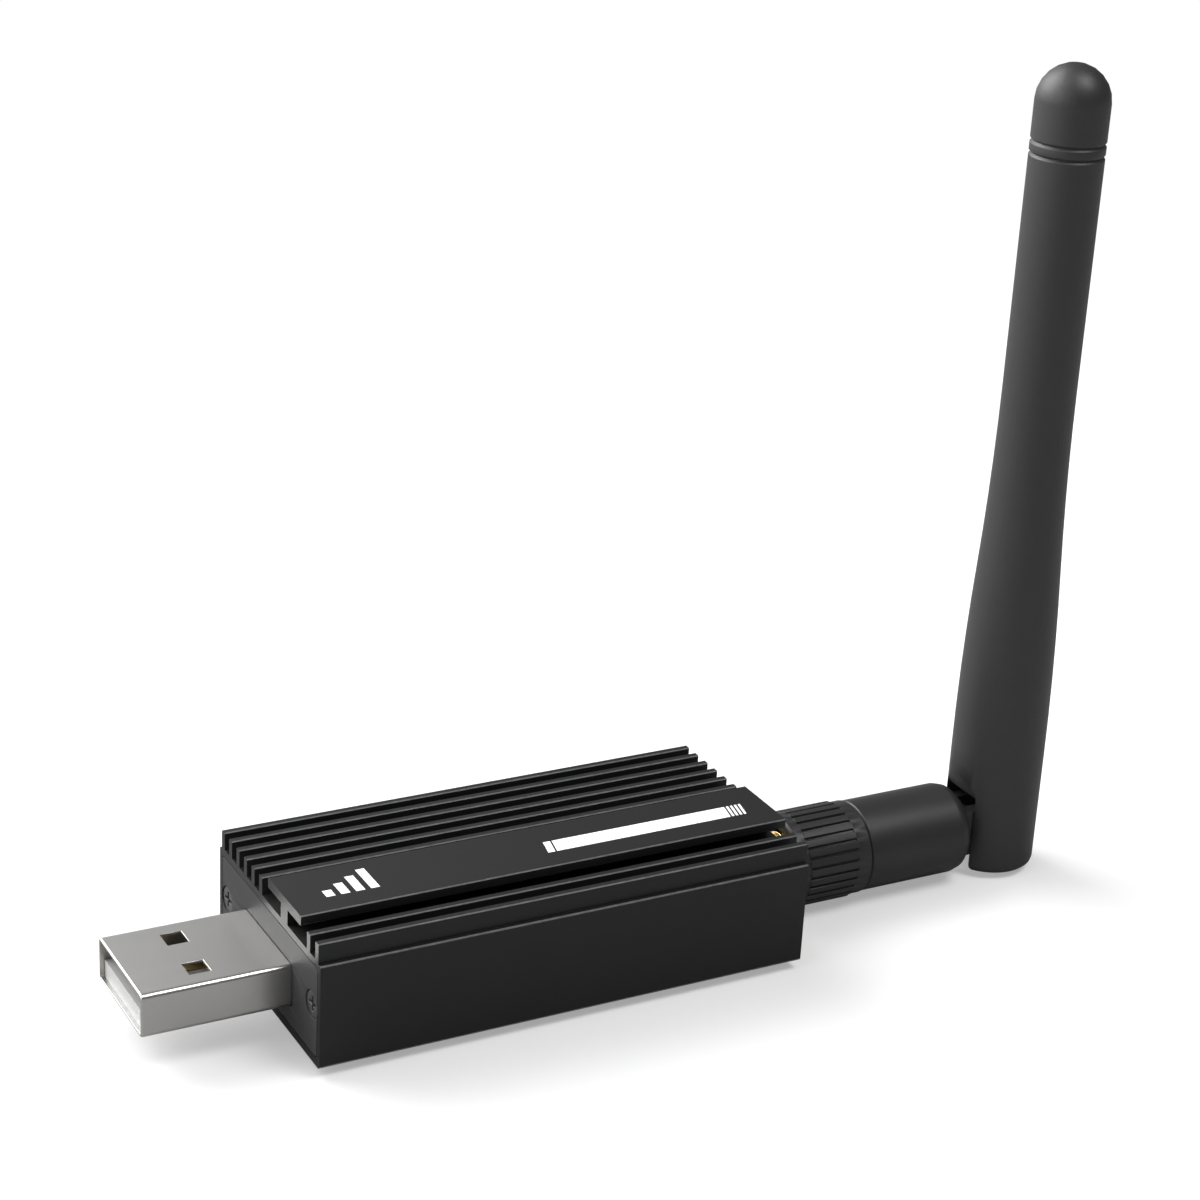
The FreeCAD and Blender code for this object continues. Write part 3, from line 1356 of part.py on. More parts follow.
def make_whip():
    """The whip: straight base with two ears, long taper, round tip and two ring grooves."""
    body = new_body("whip_sleeve", hinge_place, 0, d.coax_height)
    base, tip = d.whip_base_radius, d.whip_tip_radius
    # The taper is two arcs that meet half way down its fall.
    half_fall = (base - tip) / 2
    half_taper = d.whip_taper / 2
    taper_arc = (half_taper * half_taper + half_fall * half_fall) / (half_fall * 2)
    tip_start = d.whip_reach - tip
    rounded = d.whip_base_rounding
    outline = Profile(body, "whip_outline", "XZ_Plane")
    outline.outline(
        [
            (0, -d.whip_drop),
            *round_off(base - rounded, rounded - d.whip_drop, rounded, -90, 0, WHIP_BASE_STEPS),
            (base, d.whip_straight, taper_arc),
            (base - half_fall, d.whip_straight + half_taper, -taper_arc),
            (tip, d.whip_straight + d.whip_taper),
            *round_off(as_size(0), tip_start, tip, 0, 90, WHIP_TIP_STEPS)[:-1],
            (0, d.whip_reach),
        ]
    )
    outline.revolve("V_Axis")
    rings = Profile(body, "ring_grooves", "XZ_Plane")
    outer = tip + d.ring_depth
    for side in (1, -1):
        middle = d.whip_reach - d.ring_place + d.ring_spacing / 2 * side
        rings.outline(
            [(tip - d.ring_depth, middle), (outer, middle - d.ring_width), (outer, middle + d.ring_width)]
        )
    rings.groove("V_Axis")
    bore = Profile(body, "whip_bore", "XY_Plane", 0)
    bore.circle(0, 0, d.cavity_radius)
    bore.pocket(d.whip_reach - d.cavity_end, flip=True)
    slot = Profile(body, "hinge_slot", "XZ_Plane", slot_half)
    beyond = base * PAST
    bevel_top = d.slot_radius + d.slot_bevel_slope * (beyond - d.slot_bevel_start)
    slot.outline(
        [
            (-beyond, -beyond),
            (d.slot_radius, -beyond),
            (d.slot_radius, 0, d.slot_radius),
            (0, d.slot_radius),
            (-d.slot_bevel_start, d.slot_radius),
            (-beyond, bevel_top),
        ]
    )
    slot.pocket(slot_half * 2)
    hole_half = d.tongue_half + d.trunnion_reach + d.trunnion_end_gap
    holes = Profile(body, "stud_holes", "XZ_Plane", hole_half)
    holes.circle(0, 0, d.trunnion_radius + d.trunnion_gap)
    holes.pocket(hole_half * 2)
    return keep(body, "whip_sleeve")


def make_radiator():
    """What the whip holds: the cable bush, the brass skirt, the radiator rod and its bush."""
    at = (hinge_place, 0, d.coax_height)
    bush_radius = d.cavity_radius - d.bush_gap
    bush = new_body("cable_bush", *at)
    ring = Profile(bush, "cable_bush_outline", "XY_Plane", d.lower_bush_place)
    ring.circle(0, 0, bush_radius)
    ring.circle(0, 0, d.cable_radius + d.cable_gap)
    ring.pad(d.bush_length)
    keep(bush, "cable_bush")
    skirt = new_body("radiator_skirt", *at)
    cup = Profile(skirt, "skirt_outline", "XZ_Plane")
    inner = d.skirt_radius - d.skirt_wall
    hole = d.cable_radius + d.cable_gap
    cup.outline(
        [
            (inner, d.skirt_place),
            (d.skirt_radius, d.skirt_place),
            (d.skirt_radius, skirt_top),
            (hole, skirt_top),
            (hole, skirt_top - d.skirt_wall * 2),
            (inner, skirt_top - d.skirt_wall * 2),
        ]
    )
    cup.revolve("V_Axis")
    keep(skirt, "radiator_skirt")
    upper = new_body("radiator_rod", *at)
    wire = Profile(upper, "rod_outline", "XY_Plane", rod_bottom)
    wire.circle(0, 0, d.rod_radius)
    wire.pad(d.rod_length)
    keep(upper, "radiator_rod")
    top_bush = new_body("rod_bush", *at)
    cap = Profile(top_bush, "rod_bush_outline", "XY_Plane", rod_top - d.rod_inset - d.bush_length)
    cap.circle(0, 0, bush_radius)
    cap.circle(0, 0, d.rod_radius + d.rod_bush_gap)
    cap.pad(d.bush_length)
    keep(top_bush, "rod_bush")


make_housing()
make_end_plate("front_end_plate", -1)
make_end_plate("rear_end_plate", 1)
make_screws()
make_usb_shell()
make_usb_tongue()
make_usb_contacts()
make_board()
make_shield_can()
make_chips()
make_small_parts()
make_switch("boot_switch", -1)
make_switch("reset_switch", 1)
make_jack()
make_jack_fasteners()
make_antenna_core()
make_coupling_nut()
make_elbow()
make_feed_cable()
make_whip()
make_radiator()
doc.recompute()

faults = []
for thing in doc.Objects:
    if "Invalid" in thing.State or "Error" in thing.State:
        faults.append(f"{thing.Name} is {thing.State}")
for piece in sub_parts:
    if piece.Shape.isNull() or not piece.Shape.isValid() or not piece.Shape.Solids:
        faults.append(f"{piece.Label} has no valid solid")
if faults:
    raise RuntimeError("; ".join(faults))
for piece in sub_parts:
    piece.Shape.exportStep(f"parts/{piece.Label}.step")
    box = piece.Shape.BoundBox
    low = f"{box.XMin:.2f} {box.YMin:.2f} {box.ZMin:.2f}"
    high = f"{box.XMax:.2f} {box.YMax:.2f} {box.ZMax:.2f}"
    print(f"{piece.Label}: {len(piece.Shape.Solids)} solids, {piece.Shape.Volume:.2f} mm3, {low} to {high}")
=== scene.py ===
"""Looks of a smart home USB radio stick: finishes, platform print, cut thread, feed cable, studio and camera."""

import json
import logging
import math
from dataclasses import dataclass, field
from enum import Enum
from typing import Iterable, Sequence

import bmesh
import bpy
from mathutils import Matrix, Vector


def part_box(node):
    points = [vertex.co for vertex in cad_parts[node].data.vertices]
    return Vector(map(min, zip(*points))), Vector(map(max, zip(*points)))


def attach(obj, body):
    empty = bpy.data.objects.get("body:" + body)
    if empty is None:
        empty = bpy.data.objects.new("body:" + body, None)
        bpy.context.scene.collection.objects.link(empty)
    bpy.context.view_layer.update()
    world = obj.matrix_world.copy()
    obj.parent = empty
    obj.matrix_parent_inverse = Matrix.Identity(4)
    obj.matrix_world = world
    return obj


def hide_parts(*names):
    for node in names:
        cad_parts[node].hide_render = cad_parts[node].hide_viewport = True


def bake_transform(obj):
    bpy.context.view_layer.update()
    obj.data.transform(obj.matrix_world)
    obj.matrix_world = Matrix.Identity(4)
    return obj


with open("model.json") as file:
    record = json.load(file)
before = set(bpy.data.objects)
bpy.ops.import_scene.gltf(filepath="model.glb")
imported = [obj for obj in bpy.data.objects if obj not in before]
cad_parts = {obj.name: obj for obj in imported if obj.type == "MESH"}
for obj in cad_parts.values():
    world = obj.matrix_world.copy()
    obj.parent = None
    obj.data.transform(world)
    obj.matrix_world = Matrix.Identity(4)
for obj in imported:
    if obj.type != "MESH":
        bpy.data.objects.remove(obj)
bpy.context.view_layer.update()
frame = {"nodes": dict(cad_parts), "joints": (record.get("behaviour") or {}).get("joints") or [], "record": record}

MM = 0.001
WHITE = (1.0, 1.0, 1.0, 1.0)
LOG = logging.getLogger("radio_stick")

Point = tuple[float, float, float]
Outline = list[tuple[float, float]]
Color = tuple[float, float, float]
Materials = dict[str, bpy.types.Material]
Edges = list[bmesh.types.BMEdge]


class Socket(Enum):
    """The kinds of socket that a node group has."""

    FLOAT = "NodeSocketFloat"
    VECTOR = "NodeSocketVector"
    COLOR = "NodeSocketColor"


class Mixed(Enum):
    """What a mix node mixes, as the numbers of its two inputs and of its output."""

    FLOAT = (2, 3, 0)
    RGBA = (6, 7, 2)


class Curve(Enum):
    """How a value passes from one end of a range to the other."""

    STRAIGHT = "LINEAR"
    EASED = "SMOOTHSTEP"


class Relief(Enum):
    """The fine relief that a finish has, as stretches of its noise along X, Y and Z."""

    MOULDED = (1.0, 1.0, 1.0)
    BLASTED = (0.55, 1.0, 1.0)
    DRAWN = (0.02, 1.0, 1.0)
    TURNED = (1.0, 0.06, 0.06)
    UPRIGHT = (1.0, 1.0, 0.05)


@dataclass(frozen=True)
class Grain:
    """How fine and how rough a noise is."""

    detail: float
    roughness: float


class Graph:
    """Builds a shader node tree with short calls."""

    def __init__(self, tree: bpy.types.NodeTree) -> None:
        """Keeps the tree and empties it.

        Args:
            tree: The node tree to fill.
        """
        self.tree = tree
        tree.nodes.clear()

    def node(
        self, kind: str, settings: dict[str, object] | None = None, *first: object, **named: object
    ) -> bpy.types.Node:
        """Adds a node.

        Args:
            kind: The node's type, such as ShaderNodeMath.
            settings: Properties of the node itself.
            first: Values or outputs for its first sockets, in order.
            named: Values or outputs by socket name, with _ for a space.

        Returns:
            The new node.
        """
        made = self.tree.nodes.new(kind)
        for name, value in (settings or {}).items():
            setattr(made, name, value)
        for socket, value in zip(made.inputs, first):
            self.feed(socket, value)
        for name, value in named.items():
            self.feed(made.inputs[name.replace("_", " ")], value)
        return made

    def feed(self, socket: bpy.types.NodeSocket, value: object) -> None:
        """Gives a socket its value.

        Args:
            socket: The input socket.
            value: An output to link to it, or a value of its own.
        """
        if isinstance(value, bpy.types.NodeSocket):
            self.tree.links.new(value, socket)
        else:
            socket.default_value = value

    def group(self, name: str, **named: object) -> bpy.types.Node:
        """Places a node group with its own values."""
        return self.node("ShaderNodeGroup", {"node_tree": bpy.data.node_groups[name]}, **named)

    def math(self, operation: str, *values: object) -> bpy.types.NodeSocket:
        """Adds a math node and returns its output."""
        return self.node("ShaderNodeMath", {"operation": operation}, *values).outputs[0]

    def vectors(self, operation: str, *values: object, **named: object) -> bpy.types.Node:
        """Adds a vector math node."""
        return self.node("ShaderNodeVectorMath", {"operation": operation}, *values, **named)

    def place_in_mm(self) -> bpy.types.NodeSocket:
        """Adds the place on the piece, in millimetres."""
        place = self.node("ShaderNodeTexCoord").outputs["Object"]
        return self.vectors("SCALE", place, Scale=1.0 / MM).outputs[0]

    def noise(self, place: object, scale: object, grain: Grain) -> bpy.types.NodeSocket:
        """Adds a noise.

        Args:
            place: Where it is read.
            scale: How many of its spots lie in one unit of the place.
            grain: How fine and how rough it is.

        Returns:
            Its grey, from 0 to 1.
        """
        settled = {"Detail": grain.detail, "Roughness": grain.roughness}
        return self.node("ShaderNodeTexNoise", Vector=place, Scale=scale, **settled).outputs["Fac"]

    def mix(self, kind: Mixed, share: object, first: object, second: object) -> bpy.types.NodeSocket:
        """Adds a mix node.

        Args:
            kind: What it mixes.
            share: How much of the second there is, from 0 to 1.
            first: The first value or colour.
            second: The second value or colour.

        Returns:
            The mixture.
        """
        from_first, from_second, mixture = kind.value
        made = self.node("ShaderNodeMix", {"data_type": kind.name}, share)
        self.feed(made.inputs[from_first], first)
        self.feed(made.inputs[from_second], second)
        return made.outputs[mixture]

    def spread(
        self,
        value: object,
        given: tuple[object, object],
        wanted: tuple[object, object] = (0.0, 1.0),
        curve: Curve = Curve.STRAIGHT,
    ) -> bpy.types.NodeSocket:
        """Adds a node that maps one range to another and stays within it.

        Args:
            value: The value to map.
            given: The range that the value has.
            wanted: The range that comes out.
            curve: How it passes from one end to the other.

        Returns:
            The mapped value.
        """
        made = self.node("ShaderNodeMapRange", {"interpolation_type": curve.value}, value)
        for name, level in zip(("From Min", "From Max", "To Min", "To Max"), (*given, *wanted)):
            self.feed(made.inputs[name], level)
        return made.outputs[0]


def new_group(
    name: str, inputs: dict[str, Socket], outputs: dict[str, Socket]
) -> tuple[Graph, bpy.types.Node, bpy.types.Node]:
    """Makes an empty node group with named sockets.

    Args:
        name: The group's name.
        inputs: The kind of each input by name.
        outputs: The kind of each output by name.

    Returns:
        The graph, the group's input node and its output node.
    """
    tree = bpy.data.node_groups.new(name, "ShaderNodeTree")
    graph = Graph(tree)
    for label, kind in inputs.items():
        tree.interface.new_socket(label, in_out="INPUT", socket_type=kind.value)
    for label, kind in outputs.items():
        tree.interface.new_socket(label, in_out="OUTPUT", socket_type=kind.value)
    return graph, graph.node("NodeGroupInput"), graph.node("NodeGroupOutput")


class Effects:
    """The effects that the finishes share, each one node group."""

    RELIEF = "fine_relief"
    DRIFT = "shade_drift"
    WEAR = "edge_wear"
    # Lighter colour along edges: partly wear, partly a painted highlight.
    EDGE_MARK = "edge"

    FINE_GRAIN = Grain(detail=3.0, roughness=0.65)
    COARSE_GRAIN = Grain(detail=2.0, roughness=0.5)
    CLOUD_GRAIN = Grain(detail=4.0, roughness=0.6)
    RUB_GRAIN = Grain(detail=3.0, roughness=0.6)
    COARSE_SCALE = 0.17
    RUB_SCALE = 1.1
    RELIEF_GREYS = (0.3, 0.7)
    RUB_GREYS = (0.35, 0.65)
    MIDDLE_GREY = 0.5

    @classmethod
    def build(cls) -> None:
        """Builds every group once."""
        cls._relief()
        cls._drift()
        cls._wear()

    @classmethod
    def _relief(cls) -> None:
        """Fine relief with some coarse relief in it, stretched along the axes that the finish names."""
        inputs = {"Stretch": Socket.VECTOR, "Scale": Socket.FLOAT, "Coarse Share": Socket.FLOAT}
        graph, given, result = new_group(cls.RELIEF, inputs, {"Height": Socket.FLOAT, "Mask": Socket.FLOAT})
        place = graph.vectors("MULTIPLY", graph.place_in_mm(), given.outputs["Stretch"]).outputs[0]
        scale = given.outputs["Scale"]
        fine = graph.noise(place, scale, cls.FINE_GRAIN)
        coarse = graph.noise(place, graph.math("MULTIPLY", scale, cls.COARSE_SCALE), cls.COARSE_GRAIN)
        height = graph.mix(Mixed.FLOAT, given.outputs["Coarse Share"], fine, coarse)
        graph.feed(result.inputs["Height"], height)
        graph.feed(result.inputs["Mask"], graph.spread(height, cls.RELIEF_GREYS))

    @classmethod
    def _drift(cls) -> None:
        """A colour that drifts lighter and darker over a few millimetres, by up to the spread each way."""
        inputs = {"Color": Socket.COLOR, "Spread": Socket.FLOAT, "Scale": Socket.FLOAT}
        graph, given, result = new_group(cls.DRIFT, inputs, {"Color": Socket.COLOR})
        cloud = graph.noise(graph.place_in_mm(), given.outputs["Scale"], cls.CLOUD_GRAIN)
        centred = graph.math("SUBTRACT", cloud, cls.MIDDLE_GREY)
        swing = graph.math("MULTIPLY", centred, given.outputs["Spread"])
        gain = graph.math("MULTIPLY_ADD", swing, 1.0 / cls.MIDDLE_GREY, 1.0)
        shade = graph.vectors("SCALE", given.outputs["Color"], Scale=gain)
        graph.feed(result.inputs["Color"], shade.outputs[0])

    @classmethod
    def _wear(cls) -> None:
        """A lighter colour along the marked edges, partly wear and partly a painted highlight, stronger in some
        places than in others.
        """
        inputs = {
            "Color": Socket.COLOR,
            "Worn Color": Socket.COLOR,
            "Share": Socket.FLOAT,
            "Patches": Socket.FLOAT,
        }
        graph, given, result = new_group(cls.WEAR, inputs, {"Color": Socket.COLOR})
        mark = graph.node("ShaderNodeAttribute", {"attribute_name": cls.EDGE_MARK}).outputs["Fac"]
        patch_noise = graph.noise(graph.place_in_mm(), cls.RUB_SCALE, cls.RUB_GRAIN)
        least = graph.math("SUBTRACT", 1.0, given.outputs["Patches"])
        rubbed_and_lit = graph.spread(patch_noise, cls.RUB_GREYS, (least, 1.0))
        share = graph.math("MULTIPLY", rubbed_and_lit, given.outputs["Share"])
        mask = graph.math("MULTIPLY", mark, share)
        # The lighter edge colour is partly wear and partly a painted highlight along the edges.
        color = graph.mix(Mixed.RGBA, mask, given.outputs["Color"], given.outputs["Worn Color"])
        graph.feed(result.inputs["Color"], color)


@dataclass(frozen=True)
class Finish:
    """One finish: its colour, gloss and fine relief.

    Attributes:
        name: The record's slot that it belongs to, or what it is used for.
        color: The colour of a fresh face.
        roughness: The middle of its roughness.
        metallic: How far it is bare metal.
        specular: How strongly it mirrors head-on.
        relief: Which way its relief runs.
        relief_scale: How many spots of the relief lie in a millimetre.
        relief_depth: How deep the relief is, in millimetres.
        coarse_share: How much of the relief is coarse.
        roughness_swing: How far the roughness follows the relief.
        shade_spread: How far the colour drifts each way.
        shade_scale: How many clouds of that drift lie in a millimetre.
        coat: How much clear coat lies on it.
        worn: The lighter colour of its edges, partly wear and partly a painted highlight, where it has any.
        wear: How strongly the edges take that lighter colour.
        wear_patches: How unevenly they take it.
    """

    name: str
    color: Color
    roughness: float
    metallic: float = 0.0
    specular: float = 0.5
    relief: Relief = Relief.MOULDED
    relief_scale: float = 8.0
    relief_depth: float = 0.01
    coarse_share: float = 0.3
    roughness_swing: float = 0.08
    shade_spread: float = 0.08
    shade_scale: float = 0.15
    coat: float = 0.0
    worn: Color | None = None
    wear: float = 0.7
    wear_patches: float = 0.4

    @classmethod
    def of(
        cls, family: dict[str, object], name: str, color: Color, roughness: float, **changes: object
    ) -> "Finish":
        """Makes a finish of a family.

        Args:
            family: The values that the family shares.
            name: The finish's name.
            color: Its colour.
            roughness: Its roughness.
            changes: What it has apart from the family.

        Returns:
            The finish.
        """
        return cls(name, color, roughness, **{**family, **changes})

    def build(self) -> bpy.types.Material:
        """Builds the material.

        Returns:
            The material, with the finish's name.
        """
        material = bpy.data.materials.new(self.name)
        material.use_nodes = True
        graph = Graph(material.node_tree)
        relief = graph.group(
            Effects.RELIEF, Stretch=self.relief.value, Scale=self.relief_scale, Coarse_Share=self.coarse_share
        )
        swing = graph.math("MULTIPLY", relief.outputs["Mask"], self.roughness_swing)
        bump = graph.node(
            "ShaderNodeBump", Strength=1.0, Distance=self.relief_depth * MM, Height=relief.outputs["Height"]
        )
        shader = graph.node(
            "ShaderNodeBsdfPrincipled",
            Base_Color=self._shade(graph),
            Metallic=self.metallic,
            Roughness=graph.math("ADD", swing, self.roughness - self.roughness_swing / 2),
            Specular_IOR_Level=self.specular,
            Coat_Weight=self.coat,
            Normal=bump.outputs[0],
        )
        graph.node("ShaderNodeOutputMaterial", Surface=shader.outputs[0])
        return material

    def _shade(self, graph: Graph) -> bpy.types.NodeSocket:
        """Adds the drifting colour, with the lighter edges on it where the finish has them, partly wear and partly
        a painted highlight.

        Args:
            graph: The material's graph.

        Returns:
            The colour over the surface.
        """
        opaque = (*self.color, 1.0)
        drift = graph.group(Effects.DRIFT, Color=opaque, Spread=self.shade_spread, Scale=self.shade_scale)
        if not self.worn:
            return drift.outputs["Color"]
        rubbed_and_lit = {"Worn_Color": (*self.worn, 1.0), "Share": self.wear, "Patches": self.wear_patches}
        return graph.group(Effects.WEAR, Color=drift.outputs["Color"], **rubbed_and_lit).outputs["Color"]


BLACK_METAL = dict(relief=Relief.DRAWN, relief_scale=9.0, relief_depth=0.002, roughness_swing=0.07)
GOLD = dict(metallic=1.0, relief=Relief.TURNED, relief_scale=14.0, relief_depth=0.003, shade_spread=0.05)
STEEL = dict(metallic=1.0, relief=Relief.DRAWN, relief_scale=12.0, relief_depth=0.003, shade_spread=0.06)
PLASTIC = dict(relief_scale=14.0, relief_depth=0.012, coarse_share=0.15)

# The lighter edge colours are partly wear and partly a painted highlight along the edges; the housing's and the
# screws' are the brightest.
FINISHES: tuple[Finish, ...] = (
    Finish.of(
        BLACK_METAL, "housing_black", (0.0105, 0.0105, 0.011), 0.42, specular=0.28, worn=(0.16, 0.16, 0.163)
    ),
    Finish.of(
        BLACK_METAL, "plate_black", (0.03, 0.03, 0.031), 0.52, relief=Relief.BLASTED, specular=0.22
    ),
    Finish(
        "screw_black", (0.06, 0.06, 0.061), 0.34, metallic=0.4, relief=Relief.TURNED, relief_depth=0.003,
        worn=(0.3, 0.3, 0.305),
    ),
    Finish.of(
        STEEL, "plug_nickel", (0.54, 0.535, 0.52), 0.3,
        relief_depth=0.0003, roughness_swing=0.05, shade_spread=0.03,
    ),
    Finish.of(PLASTIC, "tongue_white", (0.36, 0.36, 0.355), 0.45, relief_depth=0.004),
    Finish.of(PLASTIC, "print_white", (0.86, 0.86, 0.85), 0.5, relief_depth=0.003),
    Finish.of(GOLD, "contact_gold", (0.86, 0.64, 0.27), 0.25, relief=Relief.DRAWN),
    Finish("board_green", (0.012, 0.075, 0.035), 0.35, relief_scale=3.0, coat=0.3),
    Finish.of(STEEL, "can_tin", (0.62, 0.62, 0.61), 0.3),
    Finish.of(PLASTIC, "chip_black", (0.022, 0.022, 0.024), 0.55),
    Finish.of(STEEL, "crystal_steel", (0.62, 0.6, 0.55), 0.28),
    Finish.of(PLASTIC, "resistor_black", (0.03, 0.03, 0.034), 0.4),
    Finish.of(PLASTIC, "capacitor_tan", (0.4, 0.27, 0.15), 0.45),
    Finish.of(PLASTIC, "coil_white", (0.7, 0.72, 0.74), 0.45),
    Finish.of(PLASTIC, "light_lens", (0.85, 0.84, 0.66), 0.2, relief_depth=0.002),
    Finish.of(STEEL, "switch_steel", (0.6, 0.6, 0.59), 0.3),
    Finish.of(PLASTIC, "plunger_black", (0.025, 0.025, 0.026), 0.45),
    Finish.of(GOLD, "jack_gold", (0.83, 0.6, 0.24), 0.24),
    Finish.of(PLASTIC, "jack_white", (0.88, 0.88, 0.85), 0.4, relief_depth=0.004),
    Finish.of(GOLD, "pin_gold", (0.85, 0.62, 0.26), 0.22),
    Finish.of(GOLD, "fastener_gold", (0.8, 0.58, 0.25), 0.28),
    Finish.of(PLASTIC, "sleeve_black", (0.018, 0.018, 0.0185), 0.42, specular=0.4, worn=(0.03, 0.03, 0.031)),
    Finish.of(GOLD, "insert_brass", (0.76, 0.56, 0.25), 0.3),
    Finish.of(GOLD, "ferrule_brass", (0.78, 0.58, 0.28), 0.28),
    Finish.of(PLASTIC, "elbow_black", (0.017, 0.017, 0.0175), 0.42, specular=0.4, worn=(0.03, 0.03, 0.031)),
    Finish.of(
        PLASTIC, "whip_black", (0.0135, 0.0135, 0.0145), 0.49, specular=0.6, worn=(0.035, 0.035, 0.036)
    ),
    Finish.of(PLASTIC, "cable_brown", (0.2, 0.085, 0.03), 0.3, relief_depth=0.003),
    Finish.of(PLASTIC, "bush_white", (0.74, 0.74, 0.7), 0.45),
    Finish.of(GOLD, "radiator_brass", (0.74, 0.55, 0.27), 0.35, relief=Relief.UPRIGHT),
)


def slot_of_nodes() -> dict[str, str]:
    """Reads which material slot each node of the record has."""
    return {part["node"]: part["material_slot"] for part in frame["record"]["subparts"]}


def body_of(node: str) -> str:
    """Finds the body that carries a node."""
    return next(body for body, nodes in frame["record"]["behaviour"]["bodies"].items() if node in nodes)


def joint_place(name: str) -> Vector:
    """Finds a point on a joint's axis, in metres."""
    return next(Vector(joint["pos_m"]) for joint in frame["joints"] if joint["name"] == name)


def add_object(name: str, data: bpy.types.ID) -> bpy.types.Object:
    """Puts a new object into the scene.

    Args:
        name: The object's name.
        data: Its mesh, light or camera.

    Returns:
        The new object.
    """
    made = bpy.data.objects.new(name, data)
    bpy.context.scene.collection.objects.link(made)
    return made


def mesh_piece(name: str, verts: Iterable[Point], faces: Iterable[Sequence[int]]) -> bpy.types.Object:
    """Makes a mesh object in the scene.

    Args:
        name: The piece's name.
        verts: Corners in metres.
        faces: Corner numbers of each face.

    Returns:
        The new object.
    """
    mesh = bpy.data.meshes.new(name)
    mesh.from_pydata([tuple(v) for v in verts], [], [tuple(f) for f in faces])
    mesh.validate()
    mesh.update()
    return add_object(name, mesh)


def give_finish(piece: bpy.types.Object, finishes: Materials, slot: str, finish: str | None = None) -> None:
    """Gives a piece its finish.

    Args:
        piece: The piece to dress.
        finishes: All the finishes by name.
        slot: The record's slot that the piece belongs to.
        finish: The name of its finish, where it isn't the slot's.
    """
    piece.data.materials.clear()
    piece.data.materials.append(finishes[finish or slot])
    LOG.info("%s takes the finish %s", piece.name, finish or slot)


@dataclass
class CarriedNodes:
    """The frame's own nodes, which keep their shapes and only get their finish."""

    finishes: Materials

    def build(self) -> dict[str, bpy.types.Object]:
        """Finds the nodes by name."""
        return frame["nodes"]

    def dress(self, nodes: dict[str, bpy.types.Object]) -> None:
        """Gives each node the finish of its slot.

        Args:
            nodes: The nodes by name.
        """
        for name, slot in slot_of_nodes().items():
            nodes[name].data.materials.clear()
            nodes[name].data.materials.append(self.finishes[slot])
        LOG.info("%d nodes take the finishes of their slots", len(nodes))


